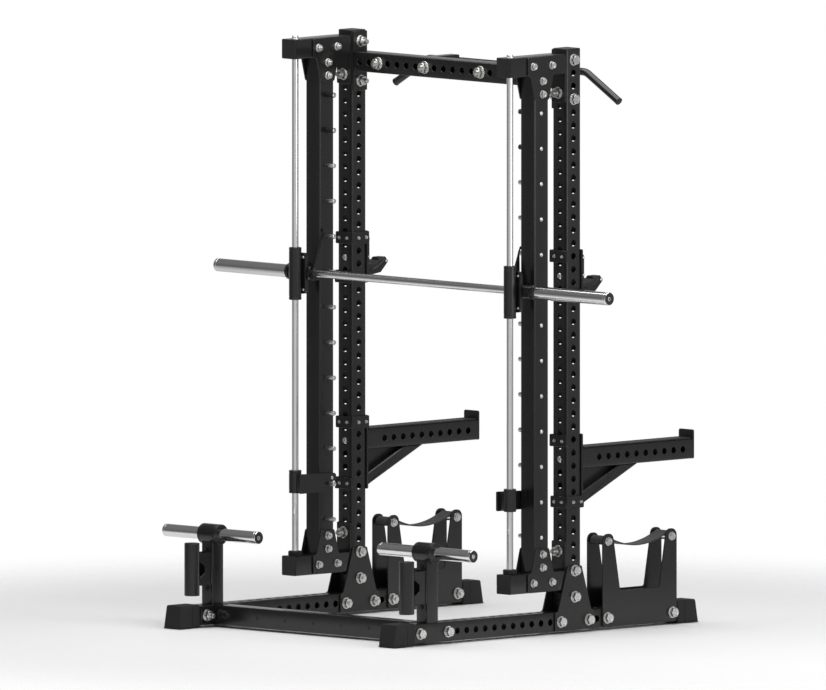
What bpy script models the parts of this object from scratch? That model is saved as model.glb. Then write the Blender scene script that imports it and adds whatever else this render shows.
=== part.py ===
"""Half rack with a guided bar, spotter arms, J-cups, strap cradles and plate horns.

All sizes are in millimetres and are turned into metres when a mesh is made.
X runs across the rack, +Y points from the guided bar to the spotter arms, and Z is up.
While a shape is described, Y = 0 is the middle of the two uprights; the finished object
is shifted so that its origin is the middle of its footprint on the floor.
"""

import math

import bmesh
import bpy
from mathutils import Vector

MM = 0.001
GAP = 0.3

# Square tube and hole pattern
TUBE = 75.0
HALF = TUBE / 2
WALL = 3.0
PITCH = 50.0
HOLE_R = 12.5
PLATE = 6.0
FLANGE = 8.0
WELD = 2.0

# Overall layout
SIDE_X = 577.5
FRONT_END = -970.0
REAR_END = 665.0
SHIFT_Y = -(FRONT_END + REAR_END) / 2
RAIL_LOW = 8.0
RAIL_HIGH = RAIL_LOW + TUBE
RAIL_MID = RAIL_LOW + HALF
TOP = 2230.0
BEAM_FRONT_Y = -750.0
BEAM_TOP_Z = 2112.5
INNER = SIDE_X - HALF
OUTER = SIDE_X + HALF
FIRST_SIDE_HOLE = 137.0
LAST_SIDE_HOLE = 2187.0

# Guided bar
COLUMN_Y = -173.4
ROD_Y = -305.5
ROD_R = 12.5
BRACKET_END_Y = -341.0
TOP_BRACKET_Z = 2174.5
LOW_BRACKET_Z = 201.5
PEG_R = 9.0
PEG_END = 497.0
PEG_FIRST_Z = 373.0
PEG_STEP = 135.0
PEG_COUNT = 13
BAR_Y = -246.0
BAR_Z = 1316.0
BAR_R = 15.0
SLEEVE_R = 25.0
BAR_END = 1055.0
HOOK_X = 530.0
HOOK_HALF = 4.0

# Attachments on the uprights
JCUP_Z = 1362.0
ARM_Z = 662.0
ARM_END_Y = 640.0

# Plate horns and strap cradles
HORN_Z = 349.0
HORN_R = 24.0
HORN_HALF = 250.0
HOLDER_Y = -861.0
ROLLER_R = 15.0
ROLLER_Z = 337.0
CRADLE_MID_Y = 350.0
CRADLE_HALF = 170.0

SIDES = (("left", -1), ("right", 1))
AXES = {"X": (1, 2, 0), "Y": (0, 2, 1), "Z": (0, 1, 2)}

# colour, roughness, metallic
FINISHES = {
    "black_paint": ((0.018, 0.018, 0.020), 0.32, 0.0),
    "grain_paint": ((0.022, 0.022, 0.023), 0.45, 0.0),
    "chrome": ((0.78, 0.78, 0.79), 0.12, 1.0),
    "rubber": ((0.015, 0.015, 0.015), 0.75, 0.0),
    "black_plastic": ((0.020, 0.020, 0.021), 0.45, 0.0),
    "webbing": ((0.016, 0.016, 0.018), 0.85, 0.0),
}


def clear_scene():
    for old in list(bpy.data.objects):
        bpy.data.objects.remove(old)


def finish_material(name):
    """The shared material of one finish, made the first time it is asked for."""
    found = bpy.data.materials.get(name)
    if found:
        return found
    colour, roughness, metallic = FINISHES[name]
    made = bpy.data.materials.new(name)
    made.use_nodes = True
    shader = made.node_tree.nodes["Principled BSDF"]
    shader.inputs["Base Color"].default_value = (*colour, 1)
    shader.inputs["Roughness"].default_value = roughness
    shader.inputs["Metallic"].default_value = metallic
    made.diffuse_color = (*colour, 1)
    return made


# ---- outlines, as lists of 2-D points ----


def rectangle(low_a, high_a, low_b, high_b):
    return [(low_a, low_b), (high_a, low_b), (high_a, high_b), (low_a, high_b)]


def arc(centre, radius, start, end, steps):
    """Points on a circle from angle start to angle end, in degrees."""
    points = []
    for i in range(steps + 1):
        angle = math.radians(start + (end - start) * i / steps)
        points.append((centre[0] + radius * math.cos(angle), centre[1] + radius * math.sin(angle)))
    return points


def circle(centre, radius, sides):
    return arc(centre, radius, 0, 360, sides)[:-1]


# ---- closed solids, each put in a new bmesh or added to the one that is given ----


def ring_of_verts(bm, outline, axis, level):
    first, second, third = AXES[axis]
    verts = []
    for a, b in outline:
        point = [0.0, 0.0, 0.0]
        point[first], point[second], point[third] = a, b, level
        verts.append(bm.verts.new(point))
    return verts


def bridge(bm, ring_a, ring_b):
    for i in range(len(ring_a)):
        j = (i + 1) % len(ring_a)
        bm.faces.new((ring_a[i], ring_a[j], ring_b[j], ring_b[i]))


def prism(outline, axis, ends, bm=None):
    """A solid with one outline all along its axis."""
    bm = bm if bm is not None else bmesh.new()
    first = ring_of_verts(bm, outline, axis, min(ends))
    last = ring_of_verts(bm, outline, axis, max(ends))
    bm.faces.new(first)
    bm.faces.new(last)
    bridge(bm, first, last)
    return bm


def box(x, y, z, bm=None):
    """A block from its three pairs of ends."""
    return prism(rectangle(min(x), max(x), min(y), max(y)), "Z", z, bm)


def rod(centre, radius, axis, ends, sides=12, bm=None):
    return prism(circle(centre, radius, sides), axis, ends, bm)


def pipe(outer, inner, axis, ends, bm=None):
    """A pipe, open at both ends, from two outlines with the same number of points."""
    bm = bm if bm is not None else bmesh.new()
    outer_low, outer_high = (ring_of_verts(bm, outer, axis, end) for end in ends)
    inner_low, inner_high = (ring_of_verts(bm, inner, axis, end) for end in ends)
    bridge(bm, outer_low, outer_high)
    bridge(bm, inner_low, inner_high)
    bridge(bm, outer_low, inner_low)
    bridge(bm, outer_high, inner_high)
    return bm


def square_tube(centre, axis, ends, size=TUBE):
    a, b = centre
    half, bore = size / 2, size / 2 - WALL
    outer = rectangle(a - half, a + half, b - half, b + half)
    inner = rectangle(a - bore, a + bore, b - bore, b + bore)
    return pipe(outer, inner, axis, ends)


def round_pipe(centre, outer_r, inner_r, axis, ends, sides=12):
    return pipe(circle(centre, outer_r, sides), circle(centre, inner_r, sides), axis, ends)


def turned(centre, axis, stations, sides, bore=False):
    """A turned piece from (distance along the axis, radius) stations; bore joins the last to the first."""
    bm = bmesh.new()
    rings = [ring_of_verts(bm, circle(centre, radius, sides), axis, along) for along, radius in stations]
    for ring_a, ring_b in zip(rings, rings[1:]):
        bridge(bm, ring_a, ring_b)
    if bore:
        bridge(bm, rings[-1], rings[0])
    else:
        bm.faces.new(rings[0])
        bm.faces.new(rings[-1])
    return bm


def mirrored(sign, low, high):
    """A pair of distances from the middle plane, as X values on the side that sign gives."""
    return sorted((sign * low, sign * high))


def outer_plate(sign):
    return mirrored(sign, OUTER + GAP, OUTER + GAP + PLATE)


def inner_plate(sign):
    return mirrored(sign, INNER - GAP - PLATE, INNER - GAP)


# ---- objects ----


def add_object(name, bm, pivot):
    """An object from a bmesh in millimetres, with its origin at pivot."""
    bmesh.ops.recalc_face_normals(bm, faces=bm.faces)
    origin = Vector((pivot[0], pivot[1] + SHIFT_Y, pivot[2])) * MM
    for vert in bm.verts:
        vert.co.y += SHIFT_Y
        vert.co = vert.co * MM - origin
    mesh = bpy.data.meshes.new(name)
    bm.to_mesh(mesh)
    bm.free()
    made = bpy.data.objects.new(name, mesh)
    made.location = origin
    bpy.context.scene.collection.objects.link(made)
    return made


def combine(target, name, bm, operation, pivot):
    """A live Boolean between target and the closed bodies in bm."""
    helper = add_object(name, bm, pivot)
    helper.hide_render = True
    helper.display_type = "WIRE"
    boolean = target.modifiers.new(name, "BOOLEAN")
    boolean.operation = operation
    boolean.solver = "EXACT"
    boolean.object = helper


def make(name, finish, bodies, holes=(), pivot=(0, -SHIFT_Y, 0)):
    """One sub-part: the first body, with the others welded on and the holes cut out."""
    made = add_object(name, bodies[0], pivot)
    made.data.shade_smooth()
    made.data.set_sharp_from_angle(angle=math.radians(35))
    made.data.materials.append(finish_material(finish))
    for i, body in enumerate(bodies[1:], 1):
        combine(made, f"{name}_weld_{i}", body, "UNION", pivot)
    for i, hole in enumerate(holes, 1):
        combine(made, f"{name}_hole_{i}", hole, "DIFFERENCE", pivot)


# ---- base ----


def base_frame():
    for side, sign in SIDES:
        rail = square_tube((sign * SIDE_X, RAIL_MID), "Y", (FRONT_END + 15, REAR_END - 15))
        make(f"{side}_base_rail", "grain_paint", [rail])
    reach = INNER - GAP - WELD
    beam = square_tube((BEAM_FRONT_Y, RAIL_MID), "X", (-reach, reach))
    plates = bmesh.new()
    for _side, sign in SIDES:
        x = mirrored(sign, INNER - FLANGE - GAP, INNER - GAP)
        box(x, (BEAM_FRONT_Y - 108, BEAM_FRONT_Y + 108), (RAIL_LOW + 1, RAIL_HIGH - 1), plates)
    band_holes = bmesh.new()
    for x in (-300, 0, 300):
        rod((x, RAIL_MID), 6, "Y", (BEAM_FRONT_Y - HALF - 5, BEAM_FRONT_Y - HALF + 10), 8, band_holes)
    make("front_cross_beam", "black_paint", [beam, plates], [band_holes])


def foot(sign, end_y, inward):
    """A rubber boot round a rail's end: a tapered outside with a square pocket, open inward."""
    bm = bmesh.new()
    open_y = end_y + inward * 110
    pocket_y = end_y + inward * (15 - GAP)
    low, high, top = 45.0, 41.0, RAIL_HIGH + 5
    bore = HALF + GAP
    x = sign * SIDE_X
    outside = [(x - low, 0), (x + low, 0), (x + high, top), (x - high, top)]
    end = [(x - low, 0), (x + low, 0), (x + high - 2, top - 2), (x - high + 2, top - 2)]
    pocket = rectangle(x - bore, x + bore, RAIL_LOW - GAP, RAIL_HIGH + GAP)
    outer_open = ring_of_verts(bm, outside, "Y", open_y)
    outer_end = ring_of_verts(bm, end, "Y", end_y)
    for vert in outer_end[2:]:
        vert.co.y += inward * 12
    inner_open = ring_of_verts(bm, pocket, "Y", open_y)
    inner_end = ring_of_verts(bm, pocket, "Y", pocket_y)
    bridge(bm, outer_open, outer_end)
    bridge(bm, inner_open, inner_end)
    bridge(bm, outer_open, inner_open)
    bm.faces.new(outer_end)
    bm.faces.new(inner_end)
    return bm


def feet():
    for side, sign in SIDES:
        make(f"{side}_front_foot", "rubber", [foot(sign, FRONT_END, 1)])
        make(f"{side}_rear_foot", "rubber", [foot(sign, REAR_END, -1)])


def base_gussets():
    outline = [(-105, 10), (105, 10), (105, 80), (89, 86), (HALF, 255), (-HALF, 255), (-89, 86), (-105, 80)]
    for side, sign in SIDES:
        make(f"{side}_outer_base_gusset", "grain_paint", [prism(outline, "X", outer_plate(sign))])
        make(f"{side}_inner_base_gusset", "grain_paint", [prism(outline, "X", inner_plate(sign))])


# ---- uprights and top ----


def uprights():
    for side, sign in SIDES:
        x = sign * SIDE_X
        tube = square_tube((x, 0), "Z", (RAIL_HIGH + GAP, TOP))
        holes = bmesh.new()
        count = round((LAST_SIDE_HOLE - FIRST_SIDE_HOLE) / PITCH) + 1
        for i in range(count):
            centre = (0, FIRST_SIDE_HOLE + PITCH * i)
            rod(centre, HOLE_R, "X", (x - HALF - 5, x + HALF + 5), 6, holes)
        pins = bmesh.new()
        for z in (JCUP_Z, ARM_Z):
            rod((x, z), HOLE_R, "Y", (HALF - 10, HALF + 5), 8, pins)
        make(f"{side}_upright", "grain_paint", [tube], [holes, pins])


def top_beam():
    reach = INNER - GAP - WELD
    beam = square_tube((0, BEAM_TOP_Z), "X", (-reach, reach))
    plates = bmesh.new()
    for _side, sign in SIDES:
        x = mirrored(sign, INNER - FLANGE - GAP, INNER - GAP)
        box(x, (1 - HALF, HALF - 1), (BEAM_TOP_Z - 114, BEAM_TOP_Z + 114), plates)
    holes = bmesh.new()
    for i in range(-5, 6):
        rod((2 * PITCH * i, BEAM_TOP_Z), HOLE_R, "Y", (-HALF - 5, -HALF + 10), 6, holes)
    make("top_cross_beam", "grain_paint", [beam, plates], [holes])


def bent_bar(bar_y, radius, bend_x, end_x, drop):
    """A bar along X whose ends bend down by drop degrees, swept as rings square to its line."""
    bend_r, steps = 60.0, 3
    tangent = bend_r * math.tan(math.radians(drop / 2))
    corner = arc((bend_x - tangent, BEAM_TOP_Z - bend_r), bend_r, 90, 90 - drop, steps)
    half = [(x, z, drop * i / steps) for i, (x, z) in enumerate(corner)]
    half.append((end_x, BEAM_TOP_Z - (end_x - bend_x) * math.tan(math.radians(drop)), drop))
    path = [(-x, z, -turn) for x, z, turn in reversed(half)] + half
    bm = bmesh.new()
    rings = []
    for x, z, turn in path:
        slope = math.radians(turn)
        ring = []
        for a, b in circle((0, 0), radius, 12):
            ring.append(bm.verts.new((x + b * math.sin(slope), bar_y + a, z + b * math.cos(slope))))
        rings.append(ring)
    for ring_a, ring_b in zip(rings, rings[1:]):
        bridge(bm, ring_a, ring_b)
    bm.faces.new(rings[0])
    bm.faces.new(rings[-1])
    return bm


def pull_up_bar():
    """The bent bar, the two arms that carry it, and their plates on the back of the top beam."""
    bar_y, radius = 258.0, 14.5
    arms = bmesh.new()
    plates = bmesh.new()
    for _side, sign in SIDES:
        box(mirrored(sign, 250, 300), (HALF + WELD, bar_y - radius / 2), (2087, 2138), arms)
        box(mirrored(sign, 105, 445), (HALF + GAP, HALF + GAP + FLANGE), (2079, 2146), plates)
    bar_solid = bent_bar(bar_y, radius, 424.0, 600.0, 30.0)
    make("pull_up_bar", "black_paint", [bar_solid, arms, plates])


# ---- guided bar: fixed parts ----


def smith_columns():
    """The plain columns, with the pegs that the hooks and stops hang on."""
    for side, sign in SIDES:
        ends = (LOW_BRACKET_Z + HALF + GAP, TOP_BRACKET_Z - HALF - GAP)
        column = square_tube((sign * SIDE_X, COLUMN_Y), "Z", ends)
        pegs = bmesh.new()
        for i in range(PEG_COUNT):
            centre = (COLUMN_Y, PEG_FIRST_Z + PEG_STEP * i)
            rod(centre, PEG_R, "X", mirrored(sign, PEG_END, INNER + WELD), 8, pegs)
        make(f"{side}_smith_column", "black_paint", [column, pegs])


def smith_bracket(name, sign, z, way, flange_z):
    """A tube with a flange on the upright, and T plates held by through bolts on both its sides."""
    x = sign * SIDE_X
    flange_front = -HALF - GAP - FLANGE
    tube = square_tube((x, z), "Y", (BRACKET_END_Y, flange_front + WELD))
    flange = box((x - HALF + 1, x + HALF - 1), (flange_front, -HALF - GAP), flange_z)
    near, far, tip = z + way * HALF, z - way * (HALF - 1), z + way * 130.5
    rear = -53 if way < 0 else -90
    outline = [(-251, far), (rear, far), (-53, near), (COLUMN_Y + 59.5, near), (COLUMN_Y + 36, tip)]
    outline += [(COLUMN_Y - 36, tip), (COLUMN_Y - 59.5, near), (-251, near)]
    plates = prism(outline, "X", outer_plate(sign))
    prism(outline, "X", inner_plate(sign), plates)
    bolts = bmesh.new()
    for y in (COLUMN_Y - 50, COLUMN_Y + 50):
        reach = HALF + GAP + PLATE + 8
        rod((y, z), 10, "X", (x - reach, x + reach), 6, bolts)
    hole_ends = (z - 60, z + 60) if way < 0 else (z, z + 60)
    rod_hole = rod((x, ROD_Y), ROD_R + 0.5, "Z", hole_ends)
    make(name, "black_paint", [tube, flange, plates, bolts], [rod_hole])


def smith_brackets():
    for side, sign in SIDES:
        smith_bracket(f"{side}_top_bracket", sign, TOP_BRACKET_Z, -1, (2025, 2211))
        smith_bracket(f"{side}_low_bracket", sign, LOW_BRACKET_Z, 1, (165, 351))


def guide_rods():
    floor = LOW_BRACKET_Z + HALF
    for side, sign in SIDES:
        centre = (sign * SIDE_X, ROD_Y)
        guide = rod(centre, ROD_R, "Z", (floor - 25, TOP_BRACKET_Z + HALF + 12))
        make(f"{side}_guide_rod", "chrome", [guide])
        bumper = round_pipe(centre, 27, ROD_R + 0.5, "Z", (floor + GAP, floor + 18))
        make(f"{side}_rod_bumper", "rubber", [bumper])


# ---- guided bar: moving parts ----


def carriage():
    """On each guide rod a housing with its bearing, a plate, and the hub that the bar turns in."""
    for side, sign in SIDES:
        centre = (sign * SIDE_X, ROD_Y)
        housing = round_pipe(centre, 24, 19, "Z", (BAR_Z - 100, BAR_Z + 100))
        plate = box(mirrored(sign, 545, 610), (ROD_Y + 21.5, BAR_Y - 22), (BAR_Z - 78, BAR_Z + 78))
        hub = rod((BAR_Y, BAR_Z), 26, "X", mirrored(sign, 542, 640), 16)
        bar_hole = rod((BAR_Y, BAR_Z), BAR_R + 0.5, "X", mirrored(sign, 500, 660), 16)
        make(f"{side}_slide_housing", "black_paint", [housing, plate, hub], [bar_hole])
        bearing = round_pipe(centre, 18.6, ROD_R + 0.4, "Z", (BAR_Z - 98, BAR_Z + 98))
        make(f"{side}_slide_bearing", "black_plastic", [bearing])


def hook_outline():
    """The hook plate, as (Y, Z): a foot round the bar, a neck leaning back, and a finger on top."""
    relative = [(-26, -14), (-19, -27), (31, -27), (40, -14), (37, 118), (37, 148)]
    relative += [(44, 155), (59, 155), (59, 162), (55, 166), (44, 166)]
    return [(BAR_Y + y, BAR_Z + z) for y, z in relative]


def guided_bar():
    pivot = (0, BAR_Y, BAR_Z)
    centre = (BAR_Y, BAR_Z)
    shaft = rod(centre, BAR_R, "X", (10 - BAR_END, BAR_END - 10), 16)
    make("bar_shaft", "chrome", [shaft], pivot=pivot)
    for side, sign in SIDES:
        hook = prism(hook_outline(), "X", mirrored(sign, HOOK_X - HOOK_HALF, HOOK_X + HOOK_HALF))
        hole = rod(centre, BAR_R + GAP, "X", mirrored(sign, 500, 560), 16)
        make(f"{side}_hook_plate", "grain_paint", [hook], [hole], pivot)


def bar_sleeves():
    bore = BAR_R + 0.5
    stations = [(641, bore), (641, 32.5), (650, 32.5), (650, SLEEVE_R), (BAR_END, SLEEVE_R), (BAR_END, bore)]
    for side, sign in SIDES:
        along = [(sign * x, radius) for x, radius in stations]
        sleeve = turned((BAR_Y, BAR_Z), "X", along, 16, bore=True)
        make(f"{side}_bar_sleeve", "chrome", [sleeve], pivot=(sign * 850, BAR_Y, BAR_Z))


def safety_stops():
    """A slide bush on the guide rod, and a hook arm that swings round it and rests on a peg."""
    low, high = 478.0, 565.0
    seat = PEG_FIRST_Z + PEG_STEP + PEG_R + 0.5
    front = ROD_Y - 24.5
    outline = [(front, low), (COLUMN_Y - 19, low), (COLUMN_Y - 19, seat), (COLUMN_Y + 38, seat)]
    outline += [(COLUMN_Y + 38, 541), (COLUMN_Y + 30, 548), (front, 553)]
    for side, sign in SIDES:
        centre = (sign * SIDE_X, ROD_Y)
        pivot = (*centre, (low + high) / 2)
        bush = round_pipe(centre, 16.2, ROD_R + 0.4, "Z", (low, high))
        make(f"{side}_stop_bush", "black_plastic", [bush], pivot=pivot)
        block = round_pipe(centre, 24, 16.8, "Z", (low, high))
        web = box(mirrored(sign, HOOK_X + 2, SIDE_X - 20), (ROD_Y - 12, ROD_Y + 12), (485, 548))
        plate = prism(outline, "X", mirrored(sign, HOOK_X - HOOK_HALF, HOOK_X + HOOK_HALF))
        make(f"{side}_stop_arm", "black_paint", [block, web, plate], pivot=pivot)


# ---- attachments on the uprights ----


def clamp_bracket(sign, pin_z, back_z, upper_z, lower_z):
    """The bodies of a bracket: a back plate, its pin, and ears that wrap opposite sides."""
    x = sign * SIDE_X
    near, thick = HALF + GAP, 8.0
    plate = box((x - 43, x + 43), (near, near + thick), back_z)
    pin = rod((x, pin_z), HOLE_R - 1.5, "Y", (-15, near + WELD), 8)
    ears = bmesh.new()
    lips = bmesh.new()
    for (low, high), way in ((upper_z, -sign), (lower_z, sign)):
        ear_x = sorted((x + way * near, x + way * (near + 10)))
        box(ear_x, (-near - thick + 1, near + thick - 1), (low + 1, high - 1), ears)
        lip_x = sorted((x + way * (near + 9), x - way * 43))
        box(lip_x, (-near - thick, -near), (low + 2, high - 2), lips)
    return [plate, pin, ears, lips]


def j_cups():
    root = HALF + GAP + 8 - WELD
    face = HALF + 2 * GAP + 8
    cup = [(root, 1285), (126, 1296), (165, 1334), (163, 1346), (157, 1353), (149.5, 1353)]
    cup += [(112, 1322), (85, 1312), (root, 1312)]
    liner = [(face, 1312.4), (85, 1312.4), (111.8, 1322.5), (148.5, 1353.2), (112, 1353.2)]
    liner += [(86, 1331), (face + 8, 1331), (face + 8, 1440), (face, 1440)]
    for side, sign in SIDES:
        x = sign * SIDE_X
        pivot = (x, 0, JCUP_Z)
        bodies = clamp_bracket(sign, JCUP_Z, (1262, 1461), (1411, 1461), (1262, 1312))
        bodies.append(prism(cup, "X", (x - 30, x + 30)))
        make(f"{side}_j_cup", "black_paint", bodies, pivot=pivot)
        make(f"{side}_j_cup_liner", "black_plastic", [prism(liner, "X", (x - 29, x + 29))], pivot=pivot)


def spotter_arms():
    root = HALF + 2 * GAP + 8
    under = 625.0
    brace = [(root, 485), (root, 530), (252, under + WELD), (352, under + WELD)]
    web = [(root + 1, 526), (165, 582), (195, under + 1), (root + 1, under + 1)]
    for side, sign in SIDES:
        x = sign * SIDE_X
        pivot = (x, 0, ARM_Z)
        bracket = clamp_bracket(sign, ARM_Z, (475, 757), (708, 757), (475, 523))
        make(f"{side}_arm_bracket", "black_paint", bracket, pivot=pivot)
        tube = square_tube((x, under + HALF), "Y", (root, ARM_END_Y))
        stop = box((x - HALF - 1, x + HALF + 1), (ARM_END_Y - WELD, ARM_END_Y + 8), (under - 1, 735))
        braces = prism(brace, "X", (x - HALF + 4, x + HALF - 4))
        gusset = prism(web, "X", (x - 3, x + 3))
        make(f"{side}_spotter_arm", "grain_paint", [tube, stop, braces, gusset], pivot=pivot)
        strip = box((x - 35, x + 35), (root + 14, ARM_END_Y - 5), (under + TUBE + GAP, under + TUBE + 6))
        make(f"{side}_arm_liner", "black_plastic", [strip], pivot=pivot)


# ---- strap cradles and plate horns ----


def cradle_plates():
    """U-shaped plates: a low web and two arms with round tops. The outer one carries the rollers."""
    low, high = CRADLE_MID_Y - CRADLE_HALF, CRADLE_MID_Y + CRADLE_HALF
    outline = [(high + 29, 12), *arc((high, ROLLER_Z), 29, 0, 180, 5), (455, 146)]
    outline += [(243, 146), *arc((low, ROLLER_Z), 29, 0, 180, 5), (low - 29, 12)]
    for side, sign in SIDES:
        rollers = bmesh.new()
        for y in (low, high):
            rod((y, ROLLER_Z), ROLLER_R, "X", mirrored(sign, INNER, OUTER + GAP + WELD), 12, rollers)
        plate = prism(outline, "X", outer_plate(sign))
        make(f"{side}_outer_cradle_plate", "black_paint", [plate, rollers])
        make(f"{side}_inner_cradle_plate", "black_paint", [prism(outline, "X", inner_plate(sign))])


def strap_outline():
    """A strap that sags as a parabola between two rollers and wraps over each of them."""
    thick, middle = 5.0, ROLLER_R + 3.1
    lean = math.radians(26)
    touch_y = CRADLE_HALF - middle * math.sin(lean)
    touch_z = ROLLER_Z + middle * math.cos(lean)
    bend = math.tan(lean) / (2 * touch_y)
    line = []
    for i in range(-6, 7):
        y = touch_y * i / 6
        line.append((y, touch_z - bend * (touch_y**2 - y**2), math.atan(2 * bend * y)))
    for degrees in (98, 78, 58, 38, 18, -2, -22):
        turn = math.radians(degrees)
        y, z = CRADLE_HALF + middle * math.cos(turn), ROLLER_Z + middle * math.sin(turn)
        slope = turn - math.pi / 2
        line = [(-y, z, -slope), *line, (y, z, slope)]
    faces = []
    for offset in (thick / 2, -thick / 2):
        for y, z, slope in line:
            faces.append((CRADLE_MID_Y + y - offset * math.sin(slope), z + offset * math.cos(slope)))
    return faces[: len(line)] + faces[len(line) :][::-1]


def cradle_straps():
    for side, sign in SIDES:
        strap = prism(strap_outline(), "X", mirrored(sign, INNER + 3, OUTER - 3))
        make(f"{side}_cradle_strap", "webbing", [strap])


def plate_horns():
    """Chrome horns that pass through short posts, with a collar on each side of the post."""
    stations = [(-HORN_HALF, HORN_R), (-44, HORN_R), (-44, 35), (-30.3, 35), (-30.3, HORN_R)]
    stations += [(-along, radius) for along, radius in reversed(stations)]
    for side, sign in SIDES:
        x = sign * SIDE_X
        centre = (BEAM_FRONT_Y, HORN_Z)
        post = square_tube((x, BEAM_FRONT_Y), "Z", (RAIL_HIGH + GAP, 388), 60)
        hole = rod(centre, HORN_R + 0.5, "X", (x - 40, x + 40), 16)
        make(f"{side}_horn_post", "black_paint", [post], [hole])
        horn = turned(centre, "X", [(x + along, radius) for along, radius in stations], 16)
        make(f"{side}_plate_horn", "chrome", [horn])


def bar_holders():
    """Upright pipes for storing a bar, each on a two-walled bracket in front of its post."""
    post_front = BEAM_FRONT_Y - 30 - GAP
    for side, sign in SIDES:
        x = sign * SIDE_X
        tube = round_pipe((x, HOLDER_Y), 29, 25, "Z", (120, 321), 16)
        walls = bmesh.new()
        for way in (-1, 1):
            box((x + way * 20, x + way * 25), (HOLDER_Y + 17, post_front - 3), (158, 283), walls)
        back = box((x - 28, x + 28), (post_front - 5, post_front), (157, 284))
        make(f"{side}_bar_holder", "black_paint", [tube, walls, back])


def main():
    clear_scene()
    base_frame()
    feet()
    base_gussets()
    uprights()
    top_beam()
    pull_up_bar()
    smith_columns()
    smith_brackets()
    guide_rods()
    carriage()
    guided_bar()
    bar_sleeves()
    safety_stops()
    j_cups()
    spotter_arms()
    cradle_plates()
    cradle_straps()
    plate_horns()
    bar_holders()


main()
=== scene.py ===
"""Half rack with a guided bar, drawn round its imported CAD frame.

Shapes are worked out in millimetres, with X across the rack, Y = 0 in the middle of the two
uprights, +Y towards the spotter arms and Z up. emit() turns them into metres in the CAD's frame.
A 2-D outline is an array of complex numbers, so a turn is a product.
"""

import math

import bmesh
import bpy
import numpy as np
from bpy.props import FloatProperty, FloatVectorProperty, PointerProperty
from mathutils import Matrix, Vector


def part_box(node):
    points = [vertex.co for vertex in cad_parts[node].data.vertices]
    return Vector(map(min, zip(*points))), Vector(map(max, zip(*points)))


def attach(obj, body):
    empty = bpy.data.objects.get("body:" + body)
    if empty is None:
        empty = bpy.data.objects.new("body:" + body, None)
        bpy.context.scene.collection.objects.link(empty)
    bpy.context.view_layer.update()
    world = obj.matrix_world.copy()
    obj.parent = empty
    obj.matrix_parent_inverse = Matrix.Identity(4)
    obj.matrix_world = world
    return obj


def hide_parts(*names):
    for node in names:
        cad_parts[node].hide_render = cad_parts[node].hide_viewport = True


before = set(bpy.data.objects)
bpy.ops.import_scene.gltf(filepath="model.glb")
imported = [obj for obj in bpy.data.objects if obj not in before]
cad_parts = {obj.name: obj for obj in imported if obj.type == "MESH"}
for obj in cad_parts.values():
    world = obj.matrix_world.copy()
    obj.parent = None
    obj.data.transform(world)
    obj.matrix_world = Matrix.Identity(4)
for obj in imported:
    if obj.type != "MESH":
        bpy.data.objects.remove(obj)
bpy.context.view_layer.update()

bl_info = {
    "name": "Guided half rack",
    "version": (1, 0, 0),
    "blender": (4, 5, 0),
    "location": "3D View > Sidebar > Rack",
    "description": "Builds a half rack with a guided bar, spotter arms, cups and strap cradles",
    "category": "Add Mesh",
}

SIDES = (("left", -1), ("right", 1))
AXES = {"X": (1, 2, 0), "Y": (0, 2, 1), "Z": (0, 1, 2)}


def corners(node):
    """The low and high corners of a CAD node at rest, in metres, as arrays."""
    low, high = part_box(node)
    return np.array(low), np.array(high)


_low, _high = corners("right_upright")
ORIGIN = np.array([0.0, (_low[1] + _high[1]) / 2, 0.0])


def extent(node, axis):
    """A CAD node's two ends along an axis, in millimetres."""
    low, high = (1000 * (corner - ORIGIN)["XYZ".index(axis)] for corner in corners(node))
    return round(float(low), 3), round(float(high), 3)


def middle(node, axis):
    """The middle of a CAD node's extent along an axis, in millimetres."""
    return sum(extent(node, axis)) / 2


POST_X = middle("right_upright", "X")
TUBE = extent("right_upright", "Y")[1] * 2
HALF = TUBE / 2
INNER = POST_X - HALF
OUTER = POST_X + HALF
TOP = extent("right_upright", "Z")[1]
PLATE_OUT = extent("right_outer_base_gusset", "X")
PLATE_IN = extent("right_inner_base_gusset", "X")
RAIL_MID = middle("right_base_rail", "Z")
BEAM_Z = middle("top_cross_beam", "Z")
FRONT_Y = middle("front_cross_beam", "Y")
ROD_Y = middle("right_guide_rod", "Y")
COLUMN_Y = middle("right_smith_column", "Y")
BAR_Y = middle("bar_shaft", "Y")
BAR_Z = middle("bar_shaft", "Z")
# the hole pitch, the lowest hole of an upright's sides, and half the spacing of a pair of frame bolts
PITCH, FIRST_HOLE, BOLT_OFF = 50.0, 137.0, 75.0
PEG_FIRST, PEG_STEP, PEG_COUNT = 373.0, 135.0, 13
ROLLER_NEAR, ROLLER_FAR, ROLLER_Z = 180.0, 520.0, 337.0
TOP_BRACKET_Z, LOW_BRACKET_Z = 2174.5, 201.5
CUP_PIN_Z, ARM_PIN_Z = 1362.0, 662.0
# a plate that lies on a tube starts a little off it: that gap, a plate's thickness and an end cap's
GAP, PLATE, CAP = 0.3, 8.0, 3.0
# hexagon bolts, nuts and screws: width across flats, radius of the washer, height
FRAME_BOLT, BEAM_BOLT, END_NUT = (33.0, 22.5, 18.0), (36.0, 25.0, 20.0), (34.0, 23.0, 20.0)
PLATE_BOLT, PLATE_NUT, CRADLE_BOLT = (23.0, 15.5, 13.0), (23.0, 15.5, 14.0), (26.0, 17.0, 10.0)
CLAMP_SCREW, HOLDER_SCREW = (10.0, 6.5, 6.0), (13.0, 9.0, 6.0)


# ---- outlines ----


def box_outline(low_a, high_a, low_b, high_b):
    """The four corners of a rectangle."""
    return np.array([low_a + 1j * low_b, high_a + 1j * low_b, high_a + 1j * high_b, low_a + 1j * high_b])


def points(*pairs):
    """An outline, or places in a plane, from pairs of coordinates."""
    return np.array([a + 1j * b for a, b in pairs])


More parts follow.
